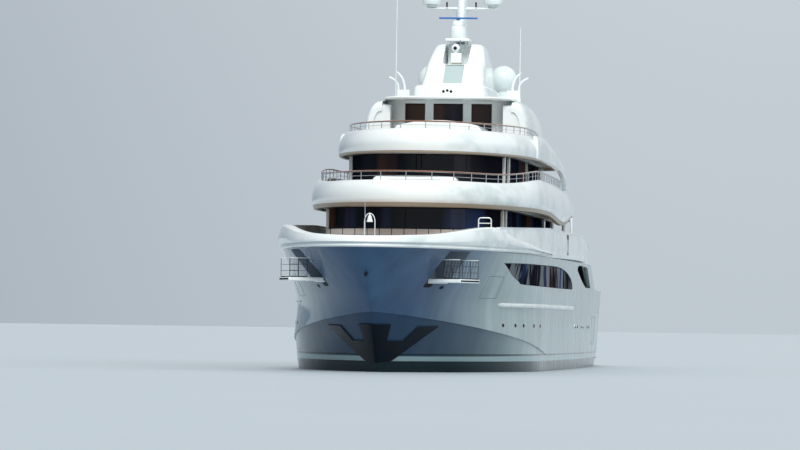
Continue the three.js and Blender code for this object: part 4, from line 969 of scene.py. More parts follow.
def make_finishes():
    """Every finish of the yacht, and the effects that they share."""
    colours, lines = bpy.context.scene.yacht_colours, bpy.context.scene.yacht_lines
    for make in (effect_ripple, effect_weather, effect_planks, effect_grain):
        make()
    hull_paint(lines, colours)
    # White paint, with painted reflection in patches where it faces port
    painted_reflection_to_port(*painted("white paint", colours.white, 0.18, 0.6), colours.white_painted_reflection)
    painted("soffit paint", colours.soffit, 0.4, 0.1)
    painted("house paint", colours.warm, 0.3, 0.3)
    painted("dome skin", colours.dome, 0.35, 0.2, dirt=0.4)
    painted("radar blue", colours.blue, 0.35, 0.3, dirt=0.1)
    painted("grille grey", colours.grille, 0.35, 0.2)
    # Near-black paint for holes and recesses: painted shade
    painted("hollow shade paint", colours.inner, 0.6, 0.0)
    # Hull colour darkened for the platforms' recesses: painted shade
    painted("recess shade paint", colours.recess, 0.4, 0.1)
    _, seal = painted("black seal", colours.seal, 0.5, 0.0, dirt=0.1)
    seal.inputs["Specular IOR Level"].default_value = 0.08
    glass_finish("dark glass", colours, 0.2, 0.8)
    # Salon glass: no mirroring of its own, with bright streaks as painted reflections instead
    glass_finish("hull glass", colours, 0.0, 0.9, 0.45)
    metal_finish("stainless", colours.steel, 0.16)
    # Polished steel made near black: painted dark reflection
    metal_finish("dark steel with painted reflection", colours.dark_steel, 0.12, 0.7, 0.12)
    metal_finish("bronze", colours.bronze, 0.32)
    teak_finish("deck teak", colours, colours.teak, 0.0, True)
    teak_finish("varnished teak", colours, colours.varnish, 0.8, False)
    cloth_finish("canvas", colours.canvas)


# Hull, its windows and the plates round the stem: outlines of (aft, up), and of (port, up) for the plates

WINDOW_LOW = [(14, 6.05), (15.2, 5.78), (16.6, 5.43), (18.6, 5.08), (20.5, 4.92), (33, 4.88), (46.5, 4.9)]
WINDOW_HIGH = [(14, 6.05), (19, 6.1), (25, 6.12), (36, 6.15), (41.5, 5.95), (44.8, 5.6), (46.2, 5.25),
               (46.5, 4.9)]
WINDOW_SEAMS = (19.2, 23.4, 27.6, 31.8, 36.0, 40.2, 43.6)
SIDE_OPENING = [(50.2, 6.15), (52.6, 5.72), (55.0, 5.38), (57.5, 5.12), (62.8, 5.12), (58.9, 6.42),
                (52.0, 6.46), (50.6, 6.36)]
AFT_OPENING = [(68.2, 5.05), (90, 5.05), (90, 8), (62.9, 8), (62.9, 6.5)]
STEM_PLATE = [(0, 0.5), (0.75, 0.62), (3.06, 2.5), (2.15, 2.46), (1.38, 1.68), (0.6, 1.68), (0.88, 2.56),
              (0, 2.56)]
STEM_SHELL = 0.06
SKEG = [(47, -3.86), (66.5, -2.9), (68, -1.6), (60, -2), (47, -3)]
TRANSOM = [(79.34, 0.8), (82, 0.8), (82, 3.56), (78.52, 3.56)]
BULWARK_WALL = 0.2
STRAKE_FORE, STRAKE_END, STRAKE_UP = 15.8, 47.3, 3.75
BEYOND = 9.0

# Running gear: places as (aft, port, up), and the fins' droop

SCREW = (74.26, 2.7, -2.25)
RUDDER_AFT, RUDDER_PORT = 77, 2.7
FIN_AFT, FIN_PORT, FIN_UP, FIN_DROOP = 44, 6.3, -2.6, np.radians(38)
THRUSTER_AFT, THRUSTER_UP, THRUSTER_RADIUS = 12.4, -1.9, 0.62

Berth = namedtuple("Berth", "aft port up turn inner outer half thick deep low high width")
PLATFORM = Berth(aft=6.6, port=3.2, up=4.85, turn=np.radians(-21), inner=0.04, outer=1.98, half=1.15,
                 thick=0.2, deep=-0.8, low=-0.06, high=1.72, width=1.28)


def platform_places(points, side):
    """Turns places given along the hinge, outwards and up from it into ship places."""
    points = np.asarray(points, float)
    turn = side * PLATFORM.turn
    along, out, above = points[..., 0], side * points[..., 1], points[..., 2]
    ahead = along * np.cos(turn) - out * np.sin(turn)
    port = along * np.sin(turn) + out * np.cos(turn)
    return places(PLATFORM.aft - ahead, side * PLATFORM.port + port, PLATFORM.up + above)


def on_platform(shape, side):
    """A shape drawn in a platform's frame, set down in its place."""
    return platform_places(shape[0], side), shape[1]


def box(along, out, up):
    """A plain box in any frame, as a cutting shape."""
    ends = ((along[0], out[0]), (along[1], out[0]), (along[1], out[1]), (along[0], out[1]))
    corner = np.array(ends, float)
    return loft(np.stack([np.column_stack([corner, np.full(4, level)]) for level in up]), cap="pairs")


def ellipsoid(centre, reach, rows=20, count=28):
    """A ball of half circles spun upright, scaled by its reach along aft, port and up."""
    turn = np.linspace(0.02, np.pi - 0.02, rows)
    ball = turned(np.stack([np.sin(turn), -np.cos(turn)], axis=1), (0, 0, 0), "up", count)
    return ball[0] * reach + centre, ball[1]


def deck_well():
    """The after main deck inside the bulwarks: the skin moved in by a wall, from the deck up past the
    sheer."""
    aft = np.linspace(50, 77.6, 40)
    levels = np.array([MAIN_DECK, 4.4, 5.05, 5.8, SHEER, SHEER + 1])
    port = hull_skin(aft[None], np.minimum(levels, SHEER)[:, None]) - BULWARK_WALL
    port = places(aft, port, levels[:, None])
    return loft(np.concatenate([port, port[:, ::-1] * [1, -1, 1]], axis=1), cap="pairs")


def fin_places(points, side):
    """Turns places given behind, outwards and above in the fin's own frame into ship places."""
    behind, out, above = points[..., 0], side * points[..., 1], points[..., 2]
    tilt = -side * FIN_DROOP
    port = out * np.cos(tilt) - above * np.sin(tilt)
    up = out * np.sin(tilt) + above * np.cos(tilt)
    return places(FIN_AFT + behind, side * FIN_PORT + port, FIN_UP + up)


def build_hull():
    """The hull: its body, bulb and skeg joined, and every opening and recess cut."""
    looks = ["hull paint", "white paint", "deck teak", "hollow shade paint", "recess shade paint"]
    paint, white, teak, inner, recess = range(len(looks))
    hull = piece("hull_skin", Gather(hull_body()), looks, node="hull", sharp=24)
    joined = Gather(ellipsoid((8.9, 0, -2.45), (3.4, 0.95, 1.05)))
    joined.add(prism(SKEG, "port", -0.22, 0.22))
    carve(hull, joined, "UNION")
    well = deck_well()
    carve(hull, Gather().add(well, bands(well, 80, [white] * 5, [teak] * 2)))
    cuts = Gather()
    for outline in (SIDE_OPENING, AFT_OPENING):
        cuts.add(prism(rounded(outline, 0.25), "port", -BEYOND, BEYOND), paint)
    carve(hull, cuts)
    cuts = Gather()
    aft = np.linspace(14.02, 46.48, 140)
    # The faces of the window recess are painted near black: painted shade
    cuts.both(skin_slab(aft, edge_up(WINDOW_LOW, aft), edge_up(WINDOW_HIGH, aft) + 0.01, 0.3, 0.1), inner)
    for _, side in SIDES:
        berth = box((-PLATFORM.width, PLATFORM.width), (PLATFORM.deep, 4), (PLATFORM.low, PLATFORM.high))
        # The recess inside takes the darkened hull colour: painted shade
        cuts.add(on_platform(berth, side), recess)
        stairs = box((75.4, 82), sorted((side * 3.7, side * 5.1)), (0.75, BEYOND))
        cuts.add(stairs, white)
        # The holes round the stocks are painted near black: painted shade
        stock = [(RUDDER_AFT, side * RUDDER_PORT, up) for up in (-2, 0)]
        cuts.add(rods(stock[:1], stock[1:], 0.155, 24), inner)
        stock = fin_places(np.array([(0, -0.45, 0), (0, 1.2, 0)]), side)
        cuts.add(rods(stock[:1], stock[1:], 0.145, 24), inner)
    tunnel = [(THRUSTER_AFT, port, THRUSTER_UP) for port in (-5, 5)]
    cuts.add(rods(tunnel[:1], tunnel[1:], THRUSTER_RADIUS, 32), paint)
    cuts.add(box((74.6, 82), (-2.7, 2.7), (0.95, 3.3)), white)
    cuts.add(prism(TRANSOM, "port", -3.01, 3.01), paint)
    carve(hull, cuts)


def build_hull_windows():
    """Dark glass in the salon recesses, with thin seams between its panes."""
    edge = 0.03
    for name, side in SIDES:
        made = Gather()
        for fore, end, count, out, deep, look in (
                (14.06, 46.44, 140, -0.03, 0.094, 0),
                *((seam - 0.02, seam + 0.02, 2, -0.026, 0.05, 1) for seam in WINDOW_SEAMS)):
            aft = np.linspace(fore, end, count)
            low, high = edge_up(WINDOW_LOW, aft) + edge, edge_up(WINDOW_HIGH, aft) - edge
            pane = skin_slab(aft, low, high, out, deep)
            made.add(mirrored(pane, side), look)
        piece(f"salon_glass_{name}", made, ["hull glass", "black seal"], node=f"hull_window_{name}")


def build_stem_plates():
    """Plates round the stem, their dark colour a painted reflection of dark water on polished steel: a shell
    just outside the skin, kept only inside their outline from ahead."""
    looks = ["dark steel with painted reflection"]
    plates = piece("stem_plate_shell", Gather(hull_body(-STEM_SHELL)), looks,
                   node="stem_plates", sharp=12)
    outline = [*STEM_PLATE, *[(-port, up) for port, up in STEM_PLATE[-2:0:-1]]]
    carve(plates, Gather(prism(outline, "aft", 0, 13)), "INTERSECT", 12)
    carve(plates, Gather(hull_body(-LIFT)), sharp=12)


def build_rub_rails():
    """Half-round strakes along both sides, drawn fine at their ends."""
    aft = np.linspace(STRAKE_FORE, STRAKE_END, 64)
    fore, end = (ramp(far, -0.05, 0.3)[:, None] for far in (aft - STRAKE_FORE, STRAKE_END - aft))
    fade = 0.2 + 0.8 * fore * end
    turn = np.linspace(-np.pi / 2, np.pi / 2, 7)
    up = STRAKE_UP + 0.13 * np.sin(turn) * np.sqrt(fade)
    outer = skin_places(aft[:, None], up, 1, 0.006 + 0.14 * np.cos(turn) * fade)
    inner = skin_places(aft[:, None], up[:, ::-1], 1, 0.002)
    rail = loft(np.concatenate([outer, inner], axis=1), cap="pairs")
    for name, side in SIDES:
        piece(f"strake_{name}", Gather(mirrored(rail, side)), node=f"rub_rail_{name}")


def skin_places(aft, up, side, out=0.0):
    """Places on the hull's side, moved outwards."""
    return places(aft, side * (hull_skin(aft, up) + out), up)


def skin_plate(aft, up, long, high, side, out):
    """A thin plate with rounded ends that lies on the hull's side and follows its curve."""
    turn = turns(28)
    ahead = long / 2 * np.sign(np.cos(turn)) * np.abs(np.cos(turn)) ** 0.55
    rise = high / 2 * np.sign(np.sin(turn)) * np.abs(np.sin(turn)) ** 0.75
    return loft(np.stack([skin_places(aft + ahead, up + rise, side, off) for off in (-0.05, out)]))


PORTS = (16.5, 18.9, 20.8, 23.8, 26.2, 49.5, 51.5, 55.0, 57.0, 61.0, 63.0)
PORT_UP = 2.62
FAIRLEADS = (
    # aft, up, long, high
    (5.85, 4.7, 0.7, 0.22), (7.3, 4.6, 0.36, 0.16), (1.2, 5.2, 0.5, 0.18),
)
SHELL_DOORS = (
    # fore, end, low, high
    (12.55, 15.15, 4.1, 5.3), (66.5, 70.5, 1.5, 3.3),
)


def door_seams(fore, end, low, high, side):
    """Fine lines round a shell door: two upright and two along the hull, just under the skin's surface."""
    for aft in (fore, end):
        yield tube(skin_places(aft, np.linspace(low, high, 8), side, -0.004), 0.010, 6, (1, 0, 0))
    for up in (low, high):
        yield tube(skin_places(np.linspace(fore, end, 14), up, side, -0.004), 0.010, 6)


def build_hull_fittings():
    """Fairleads, slit ports, the seams of the shell doors and bulwark gates, dark sheets across the side
    decks that stand for the shade and dark windows in the passages (painted shade), and white stays."""
    made = Gather()
    for _, side in SIDES:
        for aft, up, long, high in FAIRLEADS:
            made.add(skin_plate(aft, up, long, high, side, 0.02))
        for aft in PORTS:
            made.add(skin_plate(aft, PORT_UP, 0.5, 0.3, side, 0.01), 1)
            made.add(skin_plate(aft, PORT_UP, 0.38, 0.2, side, 0.018))
        for door in SHELL_DOORS:
            for seam in door_seams(*door, side):
                made.add(seam)
    for aft in (42.3, 42.9):
        up = np.linspace(6.95, 8.2, 4)
        made.both(tube(places(aft, sheer(aft) + 0.015, up), 0.02, 6, (1, 0, 0)))
    piece("hull_fittings", made, ["black seal", "stainless"])
    # Dark glass sheets across the after ends of the side decks: painted shade
    shade_sheets = Gather().both(block((62.86, 62.94), (5.14, 6.6), (MAIN_DECK + 0.01, 6.6), 0.02))
    piece("side_deck_shade_sheets", shade_sheets, ["dark glass"])
    stays = Gather()
    stays.both(rods([(59.2, 6.5, 6.5), (62.7, 6.5, 6.5)], [(63.5, 6.45, 5.07), (68, 6.35, 5.07)], 0.05, 10))
    stays.both(rods((50.5, 6.5, 8.3), (50.5, 6.5, 9.4), 0.07, 16))
    piece("side_stays", stays)


# Mooring platforms, running gear and the stern

def build_platforms():
    """Fold-out platforms with rows of grip studs on a hinge barrel, and their folding rails with slanting
    nets."""
    stud = turned([(0.001, -0.01), (0.035, -0.01), (0.03, 0.008), (0.001, 0.012)], (0, 0, 0), "up", 8)
    studs = [(x, y, PLATFORM.thick) for x in np.linspace(-1, 1, 12) for y in np.linspace(0.2, 1.82, 10)]
    half, inner, outer = PLATFORM.half, PLATFORM.inner, PLATFORM.outer
    shapes = (
        (block((-half, half), (inner, outer), (0, PLATFORM.thick), 0.04, 4), 0),
        (rods((-half, 0, 0), (half, 0, 0), 0.052, 16), 2),
        (block((-half, half), (-0.008, 0.068), (0.006, 0.054), 0.01), 0),
        (copied(stud, studs), 1),
        (block((0.06 - half, half - 0.06), (outer - 0.05, outer + 0.006), (0.05, 0.15), 0.02), 1))
    for name, side in SIDES:
        made = Gather()
        for shape, look in shapes:
            made.add(on_platform(shape, side), look)
        body = f"platform_{name}"
        looks = ["white paint", "black seal", "stainless"]
        piece(f"mooring_plate_{name}", made, looks, body, body)
        for end, sign in (("fore", 1), ("aft", -1)):
            body = f"platform_rail_{end}_{name}"
            made = platform_rail(1.08 * sign, side)
            looks = ["dark steel with painted reflection", "white paint"]
            piece(f"mooring_rail_{end}_{name}", made, looks, body, body)


def platform_rail(x, side):
    """One folding rail: three posts, two wires, a foot bar, a white top rail and a slanting net."""
    near, far, foot, head = 0.95, 1.9, 0.234, 1.234
    posts = np.linspace(near, far, 3)
    wires = (foot + 0.33, foot + 0.66)
    net = np.linspace(near, far, 6)
    made = Gather()
    for starts, ends, radius, look in (
            ([(x, y, foot) for y in posts], [(x, y, head) for y in posts], 0.015, 0),
            ([(x, near, z) for z in wires], [(x, far, z) for z in wires], 0.010, 0),
            ([(x, near, foot)], [(x, far, foot)], 0.024, 0),
            ([(x, near - 0.02, head)], [(x, far + 0.02, head)], 0.022, 1),
            ([(x, y, foot + 0.02) for y in net[:-1]], [(x, y, head - 0.02) for y in net[1:]], 0.003, 1)):
        made.add(on_platform(rods(starts, ends, radius, 8), side), look)
    return made


def foil(lead, trail, half, count=28):
    """A foil's outline of (behind, across): rounded ahead, thickest a third of the way back, fine
    behind."""
    turn = turns(count)
    share = (1 - np.cos(turn)) / 2
    thick = half * 2.6 * np.sqrt(share) * (1 - share) + half * 0.12
    across = np.sign(np.sin(turn)) * thick * (np.sin(turn) != 0)
    return np.stack([lead + (trail - lead) * share, across], axis=1)


def build_propellers():
    """Five-bladed propellers: each blade is a stack of lens sections whose pitch falls off with the
    radius."""
    aft, port, up = SCREW
    share = np.linspace(0, 1, 18)
    radius = lerp(0.12, 1.215, share)
    chord = np.interp(radius, [0.12, 0.35, 0.6, 0.85, 1.08, 1.22], [0.28, 0.5, 0.68, 0.72, 0.56, 0.1])
    pitch = np.arctan(2.4 / (2 * np.pi * np.maximum(radius, 0.3)))
    turn = turns(24)
    lens, thick = np.cos(turn), np.where(np.sin(turn) > 0, 0.05, 0.03) * np.sin(turn)
    thick = thick * lerp(1, 0.35, share)[:, None]
    hub = [(0.001, 0.05), (0.108, 0.05), (0.108, -0.28), (0.17, -0.28), (0.2, -0.25), (0.2, 0.1),
           (0.15, 0.33), (0.09, 0.46), (0.05, 0.49), (0.001, 0.5)]
    for name, side in SIDES:
        ahead = lens * (chord * np.sin(pitch))[:, None] / 2 + thick * np.cos(pitch)[:, None]
        around = side * (lens * (chord * np.cos(pitch))[:, None] / 2 - thick * np.sin(pitch)[:, None])
        out = np.broadcast_to(radius[:, None], around.shape)
        made = Gather(turned(hub, (aft, side * port, up), "aft", 40))
        for angle in turns(5):
            across = around * np.cos(angle) - out * np.sin(angle)
            rise = around * np.sin(angle) + out * np.cos(angle)
            made.add(loft(places(aft - ahead, side * port + across, rise + up)))
        body = f"propeller_{name}"
        piece(f"screw_{name}", made, ["bronze"], body, body, 30)


RUDDER_SECTIONS = (
    # up, size, share of the thickness
    (-0.78, 1.05, 1), (-2.0, 0.95, 1), (-3.15, 0.81, 1), (-3.22, 0.79, 0.7), (-3.25, 0.76, 0.3),
)
FIN_SECTIONS = (
    # out, size, share of the thickness
    (0.42, 1, 1), (1.3, 0.86, 1), (2.1, 0.73, 1), (2.17, 0.72, 0.7), (2.2, 0.7, 0.3),
)


def blade(outline, sections):
    """A foil's blade as sections of (behind, across, level), each scaled and thinned."""
    loops = [np.column_stack([outline * [size, size * wide], np.full(len(outline), level)])
             for level, size, wide in sections]
    return loft(np.stack(loops))


def build_rudders_and_fins():
    """Rudder blades and stabiliser fins: tapered foils with rounded tips on round stocks."""
    rudder = blade(foil(-0.9, 1.25, 0.15), RUDDER_SECTIONS)
    fin = blade(foil(-0.8, 1.2, 0.125), FIN_SECTIONS)
    fin = fin[0][:, [0, 2, 1]], fin[1]
    stock = rods((0, -0.4, 0), (0, 0.5, 0), 0.138, 24)
    for name, side in SIDES:
        port = side * RUDDER_PORT
        made = Gather((rudder[0] + [RUDDER_AFT, port, 0], rudder[1]))
        made.add(rods((RUDDER_AFT, port, -1.08), (RUDDER_AFT, port, -0.3), 0.148, 24))
        body = f"rudder_{name}"
        piece(f"rudder_blade_{name}", made, ["hull paint"], body, body)
        made = Gather(*((fin_places(points, side), faces) for points, faces in (fin, stock)))
        body = f"fin_{name}"
        piece(f"fin_blade_{name}", made, ["hull paint"], body, body)


def build_stern():
    """The swim platform with a white edge, a teak inlay, a black rubbing strip and four cleats."""
    low, high = 0.42, 0.7
    half = [(84.4, 3.6), (84.1, 4.8), (83.2, 5.35), (79.6, 5.1)]
    outline = [(aft, -port) for aft, port in half[::-1]] + half
    inlay = [(aft - 0.16, port * 0.965) for aft, port in outline]
    made = Gather(prism(rounded(outline, 0.3, 6), "up", low, high))
    made.add(prism(rounded(inlay, 0.3, 6), "up", high - 0.1, high + 0.02), 1)
    strip = [(79.6, 5.13), (81.5, 5.27), (83.2, 5.38), (84.15, 4.82), (84.43, 3.6), (84.45, 0)]
    made.both(tube(through([(aft, port, 0.55) for aft, port in strip], 8), 0.045, 8), 2)
    starts = [(-0.16, 0, 0.12), (0, -0.05, 0), (0, 0.05, 0)]
    ends = [(0.16, 0, 0.12), (0, -0.05, 0.12), (0, 0.05, 0.12)]
    cleats = [(aft, side * port, high + 0.02) for aft, port in ((80.4, 4.7), (83.4, 4.3))
              for _, side in SIDES]
    made.add(copied(rods(starts, ends, 0.02, 8), cleats), 3)
    piece("swim_deck", made, ["white paint", "deck teak", "black seal", "stainless"],
          node="swim_platform")


# Bow band and bulwarks

BAND_TIP = 30.5
BAND_CREST = [(0.0, 7.25), (3.5, 7.44), (7.5, 7.82), (10.2, 7.96), (11.8, 7.87), (15.5, 7.45), (20.5, 7.2),
              (24.1, 7.02), (30.5, 6.9)]
BAND_SECTION = [
    # out, share of the height, more up
    (0.06, 0, 0.0), (0.17, 0, 0.03), (0.22, 0, 0.09), (0.20, 0, 0.17), (0.13, 0, 0.205), (0.13, 0, 0.245),
    (0.235, 0, 0.265), (0.33, 0.34, 0.07), (0.33, 0.52, 0.02), (0.26, 0.78, 0), (0.19, 0.93, 0),
    (0.10, 1, -0.01), (-0.05, 1, 0), (-0.12, 1, -0.01),
]
BAND_NARROWS = (9.5, 11.4)
BULWARK_FORE, BULWARK_ROUND, BULWARK_END = 12.3, 60.4, 61.5
BULWARK_SECTION = [
    # out, level from -1 at the foot to 1 below the cap
    (-0.24, -1), (-0.03, -1), (0, -0.93), (0.025, -0.3), (0.02, 0.4), (-0.02, 0.88), (-0.02, 1.0),
    (0.0, 1.0), (0.0, 1.06), (-0.26, 1.06), (-0.26, 1.0), (-0.24, 1.0),
]


def part_way(aft, fore, end):
    """How far a place is along the way from fore to end, from 0 to 1."""
    return np.clip((aft - fore) / (end - fore), 0, 1)


def band_low(aft):
    """The band's lower edge, which climbs evenly from the sheer towards its tips."""
    return lerp(SHEER + LIFT, 6.72, part_way(aft, BAND_NARROWS[1], BAND_TIP))


def bow_line(tip, count, crowd=2.2):
    """The sheer's plan line round the bow: places crowd towards the stem by a power."""
    share = np.linspace(-1, 1, 2 * count + 1)
    aft = 0.05 + (tip - 0.05) * np.abs(share) ** crowd
    return np.stack([aft, np.sign(share) * sheer(aft)], axis=1)


def build_band():
    """The white band round the bow, tip to tip: a lip, a groove above it, a rounded face and a flat top."""
    line = bow_line(BAND_TIP, 110)
    aft = line[:, :1]
    low, top = band_low(aft), edge_up(BAND_CREST, aft)
    inner = lerp(-0.3, 0.03, part_way(aft, *BAND_NARROWS))
    out, share, more = np.array(BAND_SECTION).T
    scale = np.clip((top - low) / 0.62, 0.35, 1)
    offs = np.hstack([inner, np.maximum(out + 0 * aft, inner), inner, inner])
    ups = np.hstack([low, low + share * (top - low) + more * scale, top - 0.01, top - 0.06])
    shape = sweep(line, np.stack([offs, ups], axis=-1), cap="fan")
    piece("bow_band_face", Gather(shape), node="bow_band", sharp=28)


def build_bulwarks():
    """Upper-deck bulwarks behind the band: a capped wall whose after end is rounded."""
    aft = np.linspace(BULWARK_FORE, BULWARK_END, 90)
    top = lerp(7.96, 8.3, part_way(aft, BULWARK_FORE, 30.3)) - 0.9 * part_way(aft, 54.5, BULWARK_END) ** 2
    low = 6.65 + 0.1 * ramp(aft, 30, 50) + 0.5 * part_way(aft, 57, BULWARK_END) ** 2
    turned_in = np.maximum(aft - BULWARK_ROUND, 0) / (BULWARK_END - BULWARK_ROUND)
    close = np.sqrt(np.clip(1 - turned_in**2, 0.002, 1))
    middle, half = (low + top) / 2, (top - low) / 2 * close
    out, level = np.array(BULWARK_SECTION).T
    up = middle[:, None] + level * half[:, None]
    port = sheer(aft)[:, None] + out
    loops = places(aft[:, None], port, up)
    for name, side in SIDES:
        shape = loft(loops * [1, side, 1], cap="fan")
        piece(f"bulwark_{name}", Gather(shape), node=f"side_bulwark_{name}", sharp=30)


# Bridge deck and sun deck

# The heights of their edges are sums of smooth steps along the ship.
BRIDGE_SOFFIT, SUN_SOFFIT = 9.35, 12.6


def bridge_low(aft):
    return 9.44 - 0.34 * ramp(aft, 34, 45) + 0.72 * ramp(aft, 46, 61)


def bridge_top(aft):
    return 10.67 + 0.55 * ramp(aft, 20, 33) - 1.1 * ramp(aft, 52.5, 62)


def bridge_lip(aft):
    return np.minimum(bridge_low(aft) - 0.26, BRIDGE_SOFFIT)


def sun_low(aft):
    return 12.55 + 0 * aft


def sun_top(aft):
    return 13.83 + 0.08 * ramp(aft, 26, 36) - 0.5 * ramp(aft, 38, 46)


def between(low, high, keys):
    """Levels of a deck's face: smooth steps of (inset, share of the height from low to high)."""
    return [(inset, lambda aft, share=share: lerp(low(aft), high(aft), share))
            for inset, share in curve(keys, 3)]


def moved(up, by):
    """A level that runs beside another, above it or below."""
    return lambda aft: up(aft) + by


def add_stack(made, plan, levels, looks, ends):
    """Adds a stack whose rows of faces take the finishes given."""
    shape = stack(plan, levels)
    count = 2 * (NOSE_STEPS + SIDE_STEPS + TAIL_STEPS) + 1
    made.add(shape, bands(shape, count, looks, ends))


def brackets(plan, outer, inner, end, soffit, step):
    """Tapered ribs under a soffit: round rods at even steps along the plan, each square to its edge."""
    line = evenly(plan_line(plan, outer, end), step)[1:-1]
    ahead = unit(np.gradient(line, axis=0))
    inwards = np.stack([ahead[:, 1], -ahead[:, 0]], axis=1) * (inner - outer)
    up = np.full(len(line), soffit - 0.01)
    foot, head = (np.column_stack([place, up]) for place in (line, line + inwards))
    return rods(foot, head, 0.035, 6, 0.075)


def build_bridge_deck():
    """The bridge deck: a deep white brow over the windows below, brackets along the beige soffit behind its
    lip, a long cover before the house and two posts under the after end."""
    face = between(bridge_low, bridge_top, [(0.05, 0.0), (0.0, 0.14), (0.0, 0.38), (0.09, 0.66), (0.24, 0.86),
                                            (0.40, 0.985), (0.46, 1.0)])
    levels = [(1.3, BRIDGE_SOFFIT), (0.42, BRIDGE_SOFFIT), (0.38, bridge_lip), (0.15, bridge_lip),
              (0.11, moved(bridge_lip, 0.05)), (0.07, moved(bridge_low, -0.03)), *face,
              (0.7, bridge_top), (0.78, moved(bridge_top, -0.05)), (0.8, BRIDGE_DECK)]
    made = Gather()
    add_stack(made, BRIDGE_PLAN, levels, [1] * 5 + [0] * (len(levels) - 6), [1, 2])
    made.add(brackets(BRIDGE_PLAN, 0.46, 1.35, 46, BRIDGE_SOFFIT, 1.74))
    low, high, half = BRIDGE_DECK - 0.02, 11.05, 2.45
    made.add(block((22.1, 23.7), (-half, half), (low, high), 0.3, 6))
    made.add(block((22.06, 22.3), (-1.55, 1.55), (low + 0.25, high - 0.16), 0.08), 3)
    made.both(rods((58.5, 5.3, UPPER_DECK + LIFT), (58.5, 5.3, 9.6), 0.12, 24))
    looks = ["white paint", "soffit paint", "deck teak", "grille grey"]
    piece("bridge_deck_brow", made, looks, node="bridge_deck", sharp=30)


ARCH = [
    # aft and up of the outer edge, aft and up of the inner edge, port
    (34.0, 13.88, 34.0, 12.5, 5.93), (36.5, 13.9, 36.5, 12.48, 5.97), (39.0, 13.84, 38.8, 12.46, 6.02),
    (41.5, 13.62, 41.0, 12.44, 6.06), (44.2, 13.3, 43.2, 12.4, 6.09), (46.8, 12.96, 45.4, 12.3, 6.11),
    (49.0, 12.6, 47.5, 12.17, 6.12), (50.9, 12.14, 49.4, 11.96, 6.11), (52.2, 11.72, 50.9, 11.6, 6.1),
    (53.0, 11.3, 51.8, 11.12, 6.08),
]


def moulding():
    """The low cambered moulding before the sun house: arched rows that close in quickly at its fore end."""
    across = np.linspace(-3.1, 3.1, 49)
    rise = 14.75 - 0.32 * (across / 2.45) ** 2 - 0.95 * ramp(np.abs(across), 2.4, 3.1) - SUN_DECK
    rows = []
    for aft, narrow, share in ((33.0, 0.985, 0.9), (33.04, 0.992, 0.955), (33.14, 0.998, 0.99), (33.3, 1, 1),
                               (38.2, 1, 1)):
        top = places(aft, across * narrow, SUN_DECK - 0.02 + rise * share)
        foot = top[::-1] * [1, 1, 0] + [0, 0, SUN_DECK - 0.05]
        rows.append(np.vstack([top, foot]))
    return loft(np.stack(rows), cap="pairs")


def arch():
    """The port arch: a flat band with rounded edges that follows the rows of ARCH."""
    aft_top, top, aft_low, bottom, port = curve(ARCH, 6).T
    section = [(0.0, -0.3), (0.0, -0.02), (0.25, 0.01), (0.6, 0.0), (0.88, -0.05), (1.0, -0.16), (1.0, -0.3)]
    loops = [places(lerp(aft_low, aft_top, share), port + out, lerp(bottom, top, share))
             for share, out in section]
    return loft(np.stack(loops, axis=1))


def build_sun_deck():
    """The sun deck: a brow of the same kind, a low cambered moulding before the house, and an arch that
    sweeps down each side to the bridge deck."""
    face = between(sun_low, sun_top, [(0.03, 0.0), (0.0, 0.2), (0.02, 0.42), (0.16, 0.68), (0.34, 0.87),
                                      (0.52, 0.985), (0.58, 1.0)])
    levels = [(1.2, SUN_SOFFIT), (0.32, SUN_SOFFIT), (0.28, 12.42), (0.12, 12.4), (0.06, 12.44), *face,
              (0.8, sun_top), (0.88, moved(sun_top, -0.05)), (0.9, SUN_DECK)]
    made = Gather()
    add_stack(made, SUN_PLAN, levels, [1] * 5 + [0] * (len(levels) - 6), [1, 2])
    made.add(moulding())
    made.both(arch())
    looks = ["white paint", "soffit paint", "deck teak"]
    piece("sun_deck_brow", made, looks, node="sun_deck", sharp=30)


# Deckhouses: walls round cut windows, with glass behind them

House = namedtuple("House", "plan low high sill head window_end posts front door seams")
WALL, GLASS, MIN_POST = 0.14, 0.05, 0.03
HOUSES = {
    # posts: place aft and width on the sides; front: place port and width on the front; door: half and head
    "upper": House(
        Plan(18.0, 27, 5.4, 56, 5.0, 0.8, 0.75), low=UPPER_DECK + LIFT, high=BRIDGE_SOFFIT - LIFT,
        sill=7.96, head=9.2, window_end=53.5, posts=[(22.6, 0.14), (23.3, 0.14), (46.5, 0.9)], front=[],
        door=(1.5, 9.1), seams=[0, 19.2, 20.8, 25.6, 28.4, 31.0, 33.7, 39.5, 42.6]),
    "bridge": House(
        Plan(24.0, 33, 4.95, 50.5, 4.8, 0.6, 0.8), low=BRIDGE_DECK + LIFT, high=SUN_SOFFIT - LIFT,
        sill=10.67, head=12.42, window_end=47.4, posts=[(28.4, 0.16), (29.3, 0.16), (38, 0.12)], front=[],
        door=(1.3, 12.2), seams=[0, 25.1, 26.8, 31.6, 34.6, 41.2]),
    "sun": House(
        Plan(38.7, 40.6, 3.9, 50, 3.7, 0.5, 0.45), low=SUN_DECK + LIFT, high=ROOF - LIFT,
        sill=14.05, head=15.95, window_end=47.6, posts=[(40.2, 1.7), (44.4, 0.14)],
        front=[(1.15, 0.5), (3.4, 1.52)], door=(1.1, 15.6), seams=[]),
    "main": House(
        Plan(50.5, 51.2, 5.1, 63, 5.1, 0.5, 0.4), low=MAIN_DECK + LIFT, high=SHEER - LIFT,
        sill=4.75, head=6.2, window_end=61, posts=[(51.5, 2.2), (56.6, 0.14)], front=[(0, 11.0)],
        door=(1.5, 6.3), seams=[]),
}


def house_line(plan, inset, door_half, step=0.25):
    """The wall's whole line from one edge of the after doorway round the front to the other."""
    half = plan_half(plan, inset)[0]
    end = np.array([[plan.tail - inset, max(door_half, 0.01)]])
    port = np.vstack([half, end])
    return evenly(np.vstack([port[:0:-1] * [1, -1], port]), step)


